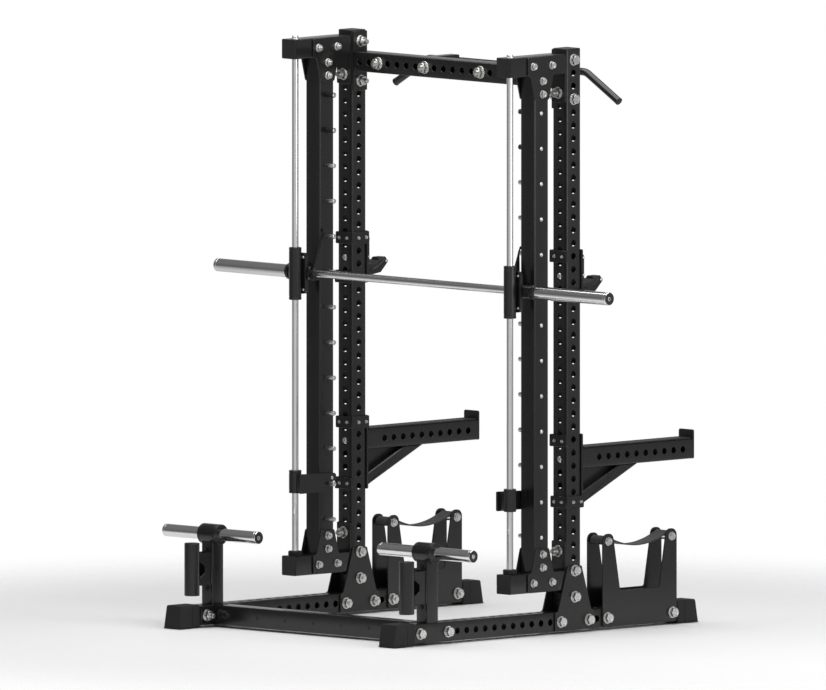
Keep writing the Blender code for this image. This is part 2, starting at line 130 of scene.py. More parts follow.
def fillet(outline, radius, steps=4):
    """Rounds every corner by an arc centred on its bisector, at radius / sin(half the corner's angle)."""
    to_last = np.roll(outline, 1) - outline
    to_next = np.roll(outline, -1) - outline
    shorter = np.minimum(abs(to_last), abs(to_next))
    to_last, to_next = to_last / abs(to_last), to_next / abs(to_next)
    half = np.arccos(np.clip((to_last * to_next.conj()).real, -1, 1)) / 2
    radius = np.minimum(radius, 0.48 * shorter * np.tan(half))
    tangent = radius / np.tan(half)
    bisector = to_last + to_next
    centre = outline + bisector / np.maximum(abs(bisector), 1e-9) * radius / np.sin(half)
    start = outline + to_last * tangent - centre
    sweep = np.angle((outline + to_next * tangent - centre) / start)
    share = np.linspace(0, 1, steps + 1)
    return (centre[:, None] + start[:, None] * np.exp(1j * sweep[:, None] * share)).ravel()


def round_box(low_a, high_a, low_b, high_b, radius, steps=4):
    """A rectangle with rounded corners."""
    return fillet(box_outline(low_a, high_a, low_b, high_b), radius, steps)


def circle(centre, radius, sides):
    """Points at equal angles round a centre."""
    return centre + radius * np.exp(2j * math.pi * np.arange(sides) / sides)


def arc(centre, radius, start, end, steps):
    """Points on a circle between two angles in degrees."""
    return centre + radius * np.exp(1j * np.radians(np.linspace(start, end, steps + 1)))


def inset(outline, depth):
    """Moves every edge inwards by depth: corners move by their edge normals' sum over 1 + their product."""
    edge = np.roll(outline, -1) - outline
    turn = np.sum((outline * np.roll(outline, -1).conj()).imag)
    normal = edge / np.maximum(abs(edge), 1e-9) * 1j * (-1 if turn > 0 else 1)
    before = np.roll(normal, 1)
    return outline + depth * (normal + before) / np.maximum(1 + (normal * before.conj()).real, 0.3)


# ---- patches: (points, faces) ----


def place(outline, along, axis):
    """3-D points from outline points and their distances along an axis."""
    outline, along = np.broadcast_arrays(outline, along)
    made = np.empty((*outline.shape, 3))
    first, second, third = AXES[axis]
    made[..., first], made[..., second], made[..., third] = outline.real, outline.imag, along
    return made


def quads(rows, columns):
    """Index quads between the neighbouring points of a grid, whose last column joins its first."""
    index = np.arange(rows * columns).reshape(rows, columns)
    after = np.roll(index, -1, axis=1)
    return np.stack([index[:-1], after[:-1], after[1:], index[1:]], axis=-1).reshape(-1, 4)


def skin(rings, closed=False):
    """A surface through rings of points, with a face over each end, or joined end to start when closed."""
    rows, columns = rings.shape[:2]
    if closed:
        rings = np.concatenate([rings, rings[:1]])
        return rings.reshape(-1, 3), quads(rows + 1, columns).tolist()
    caps = [list(range(columns)), list(range((rows - 1) * columns, rows * columns))]
    return rings.reshape(-1, 3), quads(rows, columns).tolist() + caps


def join(*patches):
    """One patch from several, each one's faces counting on from the points before it."""
    starts = np.cumsum([0] + [len(p) for p, _ in patches])
    faces = [[i + int(start) for i in face] for (_, group), start in zip(patches, starts) for face in group]
    return np.concatenate([p for p, _ in patches]), faces


def slab(outline, axis, low, high, bevel=1.0):
    """A plate with one outline between two levels, and a chamfer round both its faces."""
    small = inset(outline, bevel)
    outlines = np.stack([small, outline, outline, small])
    levels = np.array([low, low + bevel, high - bevel, high])[:, None]
    return skin(place(outlines, levels, axis))


def block(x, y, z, radius=2.0, bevel=1.0, axis="Z"):
    """A block from its three pairs of ends, with rounded edges along one axis."""
    ends = {"X": sorted(x), "Y": sorted(y), "Z": sorted(z)}
    first, second, third = ("XYZ"[i] for i in AXES[axis])
    return slab(round_box(*ends[first], *ends[second], radius), axis, *ends[third], bevel)


def lathe(centre, axis, stations, sides=32, bore=False):
    """A turned piece: at each (distance, radius) station a ring of points at that radius round the axis."""
    along, radius = np.array(stations, float).T
    return skin(place(circle(0, 1, sides) * radius[:, None] + centre, along[:, None], axis), bore)


def turned(low, high, radius, bevel):
    """The stations of a cylinder with a chamfer at each end."""
    return [(low, radius - bevel), (low + bevel, radius), (high - bevel, radius), (high, radius - bevel)]


def bar(centre, axis, low, high, radius, bevel=1.0, sides=32):
    """A plain round bar with a chamfer at each end."""
    return lathe(centre, axis, turned(low, high, radius, bevel), sides)


def sleeve(centre, axis, low, high, radius, bore, bevel=1.0, sides=32):
    """A pipe with a chamfer at each rim."""
    stations = turned(low, high, radius, bevel) + [(high, bore), (low, bore)]
    return lathe(centre, axis, stations, sides, bore=True)


def flip(stations, way, start=0.0):
    """Stations measured outwards from start, for a side of the rack."""
    return [(start + way * along, radius) for along, radius in stations]


def end_plug(centre, start, way, reach, radius, sides=32):
    """A plug with a recess in the end of a round tube, and the screw in that recess, as two patches."""
    plug = [(reach - 1.4, radius), (reach - 0.6, radius - 0.2), (reach, radius - 1.2), (reach, 9),
            (reach - 2.5, 8)]
    screw = [(reach - 2.7, 8.4), (reach - 1, 8.4), (reach - 0.1, 7), (reach - 0.1, 4), (reach - 1.8, 3.6)]
    return lathe(centre, "X", flip(plug, way, start), sides), lathe(centre, "X", flip(screw, way, start), 18)


def plain_tube(centre, axis, low, high, size=TUBE, corner=5.0, wall=3.0):
    """A square tube with rounded corners, open at both ends."""
    half = size / 2
    outside = round_box(-half, half, -half, half, corner)
    inside = round_box(wall - half, half - wall, wall - half, half - wall, corner - wall + 0.5)
    rings = np.stack([outside, outside, inside, inside]) + centre
    return skin(place(rings, np.array([low, high, high, low])[:, None], axis), closed=True)


def tube_ring(half, corner, depth):
    """28 points round a square: for each side 5 across its flat and 2 on its corner, then a quarter turn."""
    flat = half - corner
    turn = np.radians([30, 60])
    a = np.concatenate([np.full(5, half - depth), flat + (corner - depth) * np.cos(turn)])
    b = np.concatenate([np.linspace(-flat, flat, 5), flat + (corner - depth) * np.sin(turn)])
    return (1j ** np.arange(4)[:, None] * (a + 1j * b)).ravel()


def drilled_tube(centre, axis, low, high, rows, radius, corner=5.0, wall=3.0, lip=0.8):
    """A square tube with rows of round holes through its four sides.

    The outer and inner skins are grids of levels, a sixth of the pitch apart, by 28 columns. Each
    hole takes 6 by 4 cells out of both skins, and rings of 20 points lead from the edge of that gap
    to the hole's chamfer, down its wall and out to the inner skin. rows gives the holes' places
    along the tube, for its +a, +b, -a and -b sides.
    """
    half = TUBE / 2
    step = PITCH / 6
    base = next(row[0] for row in rows if len(row))
    first, last = math.ceil((low + 2 - base) / step), math.floor((high - 2 - base) / step)
    levels = np.concatenate([[low], base + step * np.arange(first, last + 1), [high]])
    depths = (0.0, wall)
    skins = [place(tube_ring(half, corner, depth) + centre, levels[:, None], axis) for depth in depths]
    count = skins[0].shape[0] * 28
    side = np.concatenate([np.full(len(row), i) for i, row in enumerate(rows)]).astype(int)
    spot = np.concatenate([np.asarray(row, float) for row in rows if len(row)])
    level = np.round((spot - base) / step).astype(int) - first + 1
    keep = np.ones((len(levels) - 1, 28), bool)
    for down in range(-3, 3):
        for across in range(4):
            keep[level + down, 7 * side + across] = False
    cells = quads(len(levels), 28)[keep.ravel()]
    up = np.array([3, 3, 3, 3, 3, 2, 1, 0, -1, -2, -3, -3, -3, -3, -3, -2, -1, 0, 1, 2])
    over = np.array([4, 3, 2, 1, 0, 0, 0, 0, 0, 0, 0, 1, 2, 3, 4, 4, 4, 4, 4, 4])
    edge = (level[:, None] + up) * 28 + (7 * side[:, None] + over) % 28
    round_hole = np.exp(1j * np.radians(54 + 18 * np.arange(20)))
    rings = []
    for size, depth in ((radius + lip, 0), (radius, lip), (radius, wall)):
        flat = (half - depth + 1j * size * round_hole.real) * 1j ** side[:, None]
        rings.append(place(flat + centre, spot[:, None] + size * round_hole.imag, axis))
    inner = 2 * count + np.arange(3 * edge.size).reshape(3, *edge.shape)
    loops = [edge, *inner, edge + count]
    walls = [
        np.stack([a, np.roll(a, -1, 1), np.roll(b, -1, 1), b], -1).reshape(-1, 4)
        for a, b in zip(loops, loops[1:])
    ]
    ends = []
    for row in (0, len(levels) - 1):
        rim = row * 28 + np.arange(28)
        ends.append(np.stack([rim, np.roll(rim, -1), np.roll(rim, -1) + count, rim + count], -1))
    faces = np.concatenate([cells, cells + count, *walls, *ends])
    made = np.concatenate([np.reshape(part, (-1, 3)) for part in (*skins, *rings)])
    return made, faces.tolist()


def sweep(path, across, profile):
    """A profile carried along a path: each ring lies in the plane of the across vector and the normal."""
    tangent = np.gradient(path, axis=0)
    tangent /= np.linalg.norm(tangent, axis=1)[:, None]
    across = np.asarray(across, float)
    normal = np.cross(tangent, across)
    normal /= np.linalg.norm(normal, axis=1)[:, None]
    return path[:, None] + profile.real[:, None] * across + profile.imag[:, None] * normal[:, None]


def bolts(places, axis, level, way, sizes, kind=FRAME_BOLT, stud=0.0):
    """Hexagon bolts on washers: rings of 12 points, where every other point stands out by 1 / cos 30."""
    flats, washer, height = kind
    flat, washer = flats * sizes.bolt_scale / 2, washer * sizes.bolt_scale
    stack = [(-0.4, washer, 0), (2.2, washer, 0), (3, washer - 0.9, 0), (3, flat, 1), (height - 1.3, flat, 1),
             (height, flat * 0.98, 0)]
    if stud:
        end = height + stud
        stack += [(height, flat * 0.55, 0), (end - 1, flat * 0.55, 0), (end, flat * 0.45, 0)]
    else:
        stack += [(height, flat * 0.72, 0), (height - 1.2, flat * 0.62, 0)]
    along, radius, hexed = np.array(stack, float).T
    ring = np.arange(12)
    wide = 1 + hexed[:, None] * (ring % 2 == 0) * (1 / math.cos(math.pi / 6) - 1)
    ring_points = circle(0, 1, 12) * radius[:, None] * wide
    patches = [skin(place(ring_points + spot, level + way * along[:, None], axis)) for spot in places]
    return join(*patches)


def dome_nuts(places, axis, level, way, radius, height):
    """Low domes on a small flange: the radius follows a quarter circle."""
    turn = np.radians(np.linspace(0, 75, 4))
    stations = [(-0.4, radius * 1.25), (1.2, radius * 1.25), (1.6, radius)]
    stations += [(1.6 + height * s, radius * c) for s, c in zip(np.sin(turn), np.cos(turn))]
    return join(*[lathe(spot, axis, flip(stations, way, level), 12) for spot in places])


def mirrored(patch, sign):
    """The patch, or its mirror image across the rack's middle plane."""
    made, faces = patch
    return made * np.array([sign, 1, 1]), faces


# ---- materials ----


class Value:
    """A number that a socket carries. Arithmetic on it adds Math nodes."""

    def __init__(self, graph, socket):
        self.graph = graph
        self.socket = socket

    def maths(self, operation, *others):
        return self.graph.add("ShaderNodeMath", {"operation": operation}, dict(enumerate(others)))

    def __add__(self, other):
        return self.maths("ADD", self, other)

    def __sub__(self, other):
        return self.maths("SUBTRACT", self, other)

    def __rsub__(self, other):
        return self.maths("SUBTRACT", other, self)

    def __mul__(self, other):
        return self.maths("MULTIPLY", self, other)

    def __pow__(self, other):
        return self.maths("POWER", self, other)

    def clamped(self):
        return self.graph.add("ShaderNodeClamp", {}, {0: self})

    def size(self):
        return self.maths("ABSOLUTE", self)

    __radd__ = __add__
    __rmul__ = __mul__


class Graph:
    """The nodes of one material or world."""

    def __init__(self, tree):
        self.tree = tree
        tree.nodes.clear()

    def add(self, kind, settings=None, inputs=None, output=0):
        """A node of a type, with its settings made first, then its sockets' values or links."""
        node = self.tree.nodes.new(kind)
        for name, setting in (settings or {}).items():
            setattr(node, name, setting)
        for name, value in (inputs or {}).items():
            if isinstance(value, Value):
                self.tree.links.new(value.socket, node.inputs[name])
            else:
                node.inputs[name].default_value = value
        return Value(self, node.outputs[output]) if node.outputs else node

    def where(self):
        """Object coordinates: metres in the CAD's frame."""
        return self.add("ShaderNodeTexCoord", output="Object")

    def noise(self, where, scale, detail=2.0, roughness=0.5):
        """A noise between 0 and 1, with scale grains to the metre."""
        inputs = {"Vector": where, "Scale": scale, "Detail": detail, "Roughness": roughness}
        return self.add("ShaderNodeTexNoise", {}, inputs)

    def blend(self, factor, low, high):
        """A colour between two."""
        inputs = {0: factor, 6: (*low, 1.0), 7: (*high, 1.0)}
        return self.add("ShaderNodeMix", {"data_type": "RGBA"}, inputs, 2)

    def bump(self, height, distance, strength=1.0):
        inputs = {"Height": height, "Distance": distance, "Strength": strength}
        return self.add("ShaderNodeBump", {}, inputs)

    def surface(self, **inputs):
        """A Principled surface; a name such as base_color stands for the socket Base Color."""
        named = {name.replace("_", " ").title().replace("Ior", "IOR"): inputs[name] for name in inputs}
        shader = self.add("ShaderNodeBsdfPrincipled", {}, named)
        self.add("ShaderNodeOutputMaterial", {}, {"Surface": shader})


def new_graph(name):
    """A new material and the graph of its nodes."""
    made = bpy.data.materials.new(name)
    made.use_nodes = True
    return made, Graph(made.node_tree)


def shade(colour, factor):
    """The colour, darker or lighter, with no part over 1."""
    return tuple(min(1.0, part * factor) for part in colour)


def powder_coat(name, colour, roughness, grain, depth):
    """Powder coat: fine orange peel in bump and gloss, and a slow change of depth in its black."""
    made, graph = new_graph(name)
    where = graph.where()
    peel = graph.noise(where, 1 / grain, 2.0, 0.55)
    slow = graph.noise(where, 9.0, 3.0, 0.5)
    speck = graph.noise(where, 2.6 / grain, 0.0)
    tone = (slow * 0.7 + peel * 0.3).clamped()
    graph.surface(
        base_color=graph.blend(tone, shade(colour, 0.7), shade(colour, 1.35)),
        roughness=(roughness - 0.05 + peel * 0.07 + slow * 0.06).clamped(),
        metallic=0.0,
        specular_ior_level=0.5,
        normal=graph.bump(peel * 0.75 + speck * 0.25, depth),
    )
    return made


def polished_steel(name, colour, roughness):
    """Hard chrome: very fine grinding marks, and a little cloudiness in the gloss."""
    made, graph = new_graph(name)
    where = graph.where()
    streak = graph.noise(where, 420.0, 2.0)
    cloud = graph.noise(where, 14.0, 3.0)
    graph.surface(
        base_color=graph.blend(cloud, shade(colour, 0.93), shade(colour, 1.04)),
        roughness=(roughness + streak * 0.03 + cloud * 0.05).clamped(),
        metallic=1.0,
        normal=graph.bump(streak, 0.000004, 0.3),
    )
    return made


def zinc_plate(name, colour, roughness):
    """Zinc on forged fasteners: small matt patches among brighter ones."""
    made, graph = new_graph(name)
    where = graph.where()
    patch = graph.noise(where, 240.0, 4.0, 0.6)
    cloud = graph.noise(where, 40.0, 2.0)
    tone = (patch * 0.6 + cloud * 0.4).clamped()
    graph.surface(
        base_color=graph.blend(tone, shade(colour, 0.78), shade(colour, 1.12)),
        roughness=(roughness - 0.1 + patch * 0.2).clamped(),
        metallic=1.0,
        normal=graph.bump(patch, 0.00008, 0.5),
    )
    return made


def moulded(name, colour, roughness, grain, depth):
    """Moulded rubber or plastic: a pebbled surface, paler and duller where it is rubbed."""
    made, graph = new_graph(name)
    where = graph.where()
    inputs = {"Vector": where, "Scale": 1 / grain}
    pebble = graph.add("ShaderNodeTexVoronoi", {"feature": "SMOOTH_F1"}, inputs)
    rub = graph.noise(where, 18.0, 4.0, 0.6)
    graph.surface(
        base_color=graph.blend(rub, shade(colour, 0.75), shade(colour, 1.6)),
        roughness=(roughness - 0.08 + rub * 0.16).clamped(),
        metallic=0.0,
        specular_ior_level=0.4,
        normal=graph.bump(pebble, depth, 0.6),
    )
    return made


def woven(name, colour, roughness):
    """Webbing: ribs run along the strap and picks cross them, from the strap's own UV in millimetres."""
    made, graph = new_graph(name)
    uv = graph.add("ShaderNodeTexCoord", output="UV")
    across = graph.add("ShaderNodeSeparateXYZ", {}, {0: uv}, 0)
    along = graph.add("ShaderNodeSeparateXYZ", {}, {0: uv}, 1)
    rib = across.maths("SINE", across * (math.pi / 1.6))
    pick = along.maths("SINE", along * (math.pi / 1.1) + rib * 1.5)
    weave = rib.size() * 0.55 + pick.size() * 0.45
    fuzz = graph.noise(graph.where(), 900.0, 2.0)
    tone = (weave * 0.8 + fuzz * 0.2).clamped()
    graph.surface(
        base_color=graph.blend(tone, shade(colour, 0.45), shade(colour, 1.7)),
        roughness=(roughness - 0.1 + fuzz * 0.15).clamped(),
        metallic=0.0,
        sheen_weight=0.25,
        sheen_roughness=0.5,
        normal=graph.bump(weave, 0.0006, 0.8),
    )
    return made


def studio_floor(name, colour):
    """A pale matt floor that fades away from the rack, faintly mottled."""
    made, graph = new_graph(name)
    where = graph.where()
    reach = graph.add("ShaderNodeVectorMath", {"operation": "LENGTH"}, {0: where}, "Value")
    fade = graph.add("ShaderNodeMapRange", {"interpolation_type": "SMOOTHSTEP"}, {0: reach, 1: 1.5, 2: 3.4})
    mottle = graph.noise(where, 3.0, 3.0)
    shader = graph.add("ShaderNodeBsdfPrincipled", {}, {
        "Base Color": graph.blend(mottle, shade(colour, 0.985), colour),
        "Roughness": 0.6,
        "Specular IOR Level": 0.25,
    })
    clear = graph.add("ShaderNodeBsdfTransparent")
    mixed = graph.add("ShaderNodeMixShader", {}, {0: fade, 1: shader, 2: clear})
    graph.add("ShaderNodeOutputMaterial", {}, {"Surface": mixed})
    return made


def finish(name):
    """The material of a finish, made once from the scene's colours."""
    found = bpy.data.materials.get(name + "_finish")
    if found:
        return found
    look = bpy.context.scene.rack_finishes
    makers = {
        "black_paint": lambda n: powder_coat(n, look.paint, 0.20, 0.0020, 0.00003),
        "grain_paint": lambda n: powder_coat(n, look.paint, 0.27, 0.0034, 0.00014),
        "chrome": lambda n: polished_steel(n, look.chrome, 0.09),
        "zinc": lambda n: zinc_plate(n, look.zinc, 0.28),
        "rubber": lambda n: moulded(n, look.rubber, 0.72, 0.0020, 0.00025),
        "black_plastic": lambda n: moulded(n, look.plastic, 0.48, 0.0012, 0.00008),
        "webbing": lambda n: woven(n, look.webbing, 0.8),
    }
    return makers[name](name + "_finish")


def emit(name, body, coat, patches, replaces=(), smooth=30.0, uv=None):
    """A finished piece on its body: in metres in the CAD's frame, doubles merged and faces outwards."""
    made, faces = join(*patches)
    mesh = bpy.data.meshes.new(name)
    mesh.from_pydata((made / 1000 + ORIGIN).tolist(), [], faces)
    if uv is not None:
        layer = mesh.uv_layers.new(name="strap")
        index = np.empty(len(mesh.loops), int)
        mesh.loops.foreach_get("vertex_index", index)
        layer.data.foreach_set("uv", uv[index].ravel())
    work = bmesh.new()
    work.from_mesh(mesh)
    bmesh.ops.remove_doubles(work, verts=work.verts, dist=0.00002)
    loose = [vert for vert in work.verts if not vert.link_faces]
    bmesh.ops.delete(work, geom=loose, context="VERTS")
    bmesh.ops.recalc_face_normals(work, faces=work.faces)
    work.to_mesh(mesh)
    work.free()
    mesh.shade_smooth()
    mesh.set_sharp_from_angle(angle=math.radians(smooth))
    mesh.materials.append(finish(coat))
    piece = bpy.data.objects.new(name, mesh)
    bpy.context.scene.collection.objects.link(piece)
    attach(piece, body)
    if replaces:
        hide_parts(*replaces)


def shown(sign, low, high):
    """A pair of distances from the middle plane, low to high, on the side that sign gives."""
    return sorted((sign * low, sign * high))


# ---- base ----


def make_rails(sizes):
    """Each side rail is a drilled tube, with no side holes between the two bolts of the front beam."""
    low, high = extent("right_base_rail", "Y")
    side_rows = np.append(FRONT_Y - BOLT_OFF, np.arange(FRONT_Y + BOLT_OFF, 530.0, PITCH))
    top_rows = np.arange(-850.0, 530.0, PITCH)
    rows = (side_rows, top_rows, side_rows, top_rows)
    centre = POST_X + 1j * RAIL_MID
    for side, sign in SIDES:
        tube = drilled_tube(centre, "Y", low, high, rows, sizes.hole / 2)
        emit(f"{side}_side_rail", "rack", "grain_paint", [mirrored(tube, sign)], [f"{side}_base_rail"])


def boot(end, inward):
    """A rubber boot: rings go from the floor of its pocket to its rim, past a seam and to the leaning end."""
    def wedge(low, high, top):
        return fillet(points((-low, 0.6), (low, 0.6), (high, top), (-high, top)), 6)

    open_y, seam = end + inward * 110, end + inward * 69
    pocket = round_box(-37.8, 37.8, 7.7, 83.3, 5)
    outside = wedge(43.5, 41, 88)
    stages = [(pocket, end + inward * 14.7), (pocket, open_y), (inset(outside, 1.2), open_y)]
    stages += [(outside, open_y - inward * 1.2), (outside, seam + inward * 2)]
    stages += [(inset(outside, 2), seam + inward), (outside, seam)]
    stages += [(outside, end + inward * 4.5), (wedge(42, 38.5, 86), end + inward * 1.5)]
    rings = [place(outline, level, "Y") for outline, level in stages]
    for ring in rings[-2:]:
        ring[:, 1] += inward * 12 * (np.clip(ring[:, 2], 0, 88) / 88) ** 1.5
    body = skin(np.stack(rings) + np.array([POST_X, 0, 0]))
    return join(body, block((POST_X - 45, POST_X + 45), (end, end + inward * 66), (0, 4), 4, 0.8))


def make_boots():
    """A boot on both ends of both rails."""
    front, rear = extent("right_front_foot", "Y")[0], extent("right_rear_foot", "Y")[1]
    for side, sign in SIDES:
        for where, end, inward in (("front", front, 1), ("rear", rear, -1)):
            emit(f"{side}_{where}_boot", "rack", "rubber", [mirrored(boot(end, inward), sign)],
                 [f"{side}_{where}_foot"], smooth=40)


def make_front_beam():
    """A plain tube between two bolted end plates, with a row of small band holes drawn as dark discs: painted
    shade of the holes.
    """
    end = extent("front_cross_beam", "X")[1]
    centre = FRONT_Y + 1j * RAIL_MID
    patches = [plain_tube(centre, "X", PLATE - end, end - PLATE)]
    for sign in (-1, 1):
        x = shown(sign, end - PLATE, end)
        patches.append(block(x, (FRONT_Y - 108, FRONT_Y + 108), (9, 82), 8, 1, "X"))
        patches.append(plain_tube(centre, "X", *shown(sign, end - 11, end - 7), TUBE + 5, 7))
    emit("front_beam", "rack", "black_paint", patches, ["front_cross_beam"])
    # dark plastic discs a little proud of the front face stand in for the band holes: painted shade, not real
    # parts
    plugs_and_hole_shades = [bar(x + 1j * RAIL_MID, "Y", FRONT_Y - HALF - 1.2, FRONT_Y - HALF + 2, 6.5, 0.6, 16)
             for x in np.arange(-450, 451, 150)]
    emit("front_beam_hole_shades", "rack", "black_plastic", plugs_and_hole_shades)


def make_gussets():
    """Plates that narrow from a wide foot to the upright's width, on both sides of each rail."""
    width, top = extent("right_outer_base_gusset", "Y")[1], extent("right_outer_base_gusset", "Z")[1]
    outline = points((-width, 10), (width, 10), (width, 80), (89, 86), (HALF, top), (-HALF, top), (-89, 86),
                     (-width, 80))
    outline = fillet(outline, 7)
    for side, sign in SIDES:
        for face, ends in (("outer", PLATE_OUT), ("inner", PLATE_IN)):
            plate = slab(outline, "X", *shown(sign, *ends), 0.9)
            emit(f"{side}_{face}_gusset", "rack", "grain_paint", [plate], [f"{side}_{face}_base_gusset"])


def make_base_bolts(sizes):
    """Bolts through the gussets, cradle plates, end plates and beams, heads outside and nuts inside."""
    gusset = points((-BOLT_OFF, RAIL_MID), (BOLT_OFF, RAIL_MID), (0, 137), (0, 237), (175, RAIL_MID),
                    (525, RAIL_MID))
    beams = points((FRONT_Y - BOLT_OFF, RAIL_MID), (FRONT_Y + BOLT_OFF, RAIL_MID), (0, BEAM_Z - 75.5),
                   (0, BEAM_Z + 74.5))
    beam_inside = extent("front_cross_beam", "X")[1] - PLATE
    for side, sign in SIDES:
        patches = [
            bolts(gusset, "X", sign * PLATE_OUT[1], sign, sizes),
            bolts(gusset, "X", sign * PLATE_IN[0], -sign, sizes, stud=9),
            bolts(beams, "X", sign * OUTER, sign, sizes),
            bolts(beams, "X", sign * beam_inside, -sign, sizes, END_NUT, 18),
        ]
        emit(f"{side}_frame_bolts", "rack", "zinc", patches)
    across = points((-400, BEAM_Z), (-150, BEAM_Z), (150, BEAM_Z), (400, BEAM_Z))
    heads = bolts(across, "Y", -HALF, -1, sizes, BEAM_BOLT, 10)
    nuts = bolts(across, "Y", HALF + GAP + PLATE, 1, sizes)
    emit("top_beam_bolts", "rack", "zinc", [heads, nuts])


# ---- uprights and top ----


def make_uprights(sizes):
    """Each upright is a drilled tube with staggered rows, closed by a thin cap on top."""
    low = extent("right_upright", "Z")[0]
    side_rows = np.arange(FIRST_HOLE, 2190.0, PITCH)
    face_rows = np.arange(FIRST_HOLE - PITCH / 2, 2170.0, PITCH)
    rows = (side_rows, face_rows, side_rows, face_rows)
    for side, sign in SIDES:
        tube = drilled_tube(POST_X + 0j, "Z", low, TOP - CAP, rows, sizes.hole / 2)
        emit(f"{side}_post", "rack", "grain_paint", [mirrored(tube, sign)], [f"{side}_upright"])
        x = shown(sign, INNER, OUTER)
        cap = slab(round_box(*x, -HALF, HALF, 5), "Z", TOP - CAP, TOP, 1.4)
        emit(f"{side}_post_cap", "rack", "black_plastic", [cap])


def make_top_beam(sizes):
    """A drilled tube between two end plates."""
    end = extent("top_cross_beam", "X")[1]
    holes = np.arange(-500.0, 501.0, PITCH)
    centre = 1j * BEAM_Z
    patches = [drilled_tube(centre, "X", PLATE - end, end - PLATE, (holes, (), holes, ()), sizes.hole / 2)]
    for sign in (-1, 1):
        x = shown(sign, end - PLATE, end)
        patches.append(block(x, (1 - HALF, HALF - 1), (BEAM_Z - 114, BEAM_Z + 114), 5, 1, "X"))
    emit("top_beam", "rack", "grain_paint", patches, ["top_cross_beam"])


def bar_path(bend_x, end_x, drop, bend_radius=60.0):
    """Half of the pull-up bar's line, as (x, z): level, an arc that turns by drop degrees, then straight."""
    tangent = bend_radius * math.tan(math.radians(drop / 2))
    corner = arc(bend_x - tangent + 1j * (BEAM_Z - bend_radius), bend_radius, 90, 90 - drop, 8)
    end = end_x + 1j * (BEAM_Z - (end_x - bend_x) * math.tan(math.radians(drop)))
    return np.concatenate([[0j + 1j * BEAM_Z], corner, [end]])


def make_pull_up_bar(sizes):
    """A bent bar with capped ends on two arms, whose plates bolt through the top beam."""
    y = extent("pull_up_bar", "Y")[1] - sizes.grip / 2
    half = bar_path(bend_x=424, end_x=extent("pull_up_bar", "X")[1] - 7.5, drop=30)
    path = place(np.concatenate([-half[:0:-1].conj(), half]), y, "Y")
    patches = [skin(sweep(path, (0, 1, 0), circle(0, sizes.grip / 2, 24)))]
    caps = []
    near = HALF + GAP
    for sign, tip, before in ((-1, path[0], path[1]), (1, path[-1], path[-2])):
        arm = round_box(*shown(sign, 250, 300), BEAM_Z - 25.5, BEAM_Z + 25.5, 5)
        plate = round_box(*shown(sign, 105, 445), BEAM_Z - 33.5, BEAM_Z + 33.5, 8)
        patches += [slab(arm, "Y", HALF + PLATE, y - 7, 0.8), slab(plate, "Y", near, near + PLATE, 0.9)]
        way = (tip - before) / np.linalg.norm(tip - before)
        line = np.stack([tip - way * 2, tip + way * 1.5, tip + way * 3.5])
        ring = sweep(line, (0, 1, 0), circle(0, sizes.grip / 2 + 0.6, 24))
        shrink = np.array([1.0, 1.0, 0.75])[:, None, None]
        caps.append(skin(line[:, None] + (ring - line[:, None]) * shrink))
    emit("bent_pull_up_bar", "rack", "black_paint", patches, ["pull_up_bar"])
    emit("pull_up_bar_caps", "rack", "black_plastic", caps)


# ---- guided bar: fixed parts ----


def make_columns():
    """Square columns with a row of pegs on the inside, held by domed nuts on the outside."""
    low, high = extent("right_smith_column", "Z")
    spots = COLUMN_Y + 1j * (PEG_FIRST + PEG_STEP * np.arange(PEG_COUNT))
    end = extent("right_smith_column", "X")[0]
    profile = [(INNER + 1, 6), (INNER - 13, 6), (INNER - 14, 8), (INNER - 15, 9), (end + 2, 9),
               (end + 0.6, 8.4), (end, 7)]
    for side, sign in SIDES:
        column = plain_tube(POST_X + 1j * COLUMN_Y, "Z", low, high)
        emit(f"{side}_column", "rack", "black_paint", [mirrored(column, sign)], [f"{side}_smith_column"])
        pegs = [mirrored(lathe(spot, "X", profile, 16), sign) for spot in spots]
        nuts = dome_nuts(spots, "X", sign * OUTER, sign, 6.5, 4.5)
        emit(f"{side}_pegs", "rack", "zinc", [*pegs, nuts])
        covers = [sleeve(spot, "X", end + 1.5, INNER - 0.2, 10, 9.1, 0.5, 20) for spot in spots[-2:]]
        emit(f"{side}_peg_sleeves", "rack", "black_plastic", [mirrored(cover, sign) for cover in covers])


def make_bracket(name, side, sign, z, way, flange_z, bolt_z, sizes):
    """A tube to the upright with a cap in front, a flange behind, and T-shaped plates on both sides."""
    front, behind = extent(f"right_{name}", "Y")[0], -HALF - GAP - PLATE
    patches = [mirrored(plain_tube(POST_X + 1j * z, "Y", front + CAP, -HALF - PLATE), sign)]
    flange = round_box(*shown(sign, INNER + 1, OUTER - 1), *flange_z, 6)
    patches.append(slab(flange, "Y", behind, -HALF - GAP, 0.9))
    near, far, tip = z + way * HALF, z - way * (HALF - 1), z + way * 130.5
    rear = -53 if way < 0 else -90
    outline = points((-251, far), (rear, far), (-53, near), (COLUMN_Y + 59.5, near), (COLUMN_Y + 36, tip),
                     (COLUMN_Y - 36, tip), (COLUMN_Y - 59.5, near), (-251, near))
    outline = fillet(outline, 9)
    patches += [slab(outline, "X", *shown(sign, *ends), 0.9) for ends in (PLATE_OUT, PLATE_IN)]
    emit(f"{side}_{name}_arm", "rack", "black_paint", patches, [f"{side}_{name}"])
    cap = round_box(*shown(sign, INNER, OUTER), z - HALF, z + HALF, 5)
    emit(f"{side}_{name}_cap", "rack", "black_plastic", [slab(cap, "Y", front, front + CAP, 1.3)])
    spots = points((-50, 0), (50, 0), (0, way * 58), (0, way * 108)) + COLUMN_Y + 1j * z
    patches = [
        bolts(spots, "X", sign * PLATE_OUT[1], sign, sizes, PLATE_BOLT),
        bolts(spots, "X", sign * PLATE_IN[0], -sign, sizes, PLATE_NUT, 6),
        bolts(points((sign * POST_X, bolt_z)), "Y", behind, -1, sizes, END_NUT, 16),
    ]
    emit(f"{side}_{name}_bolts", "rack", "zinc", patches)


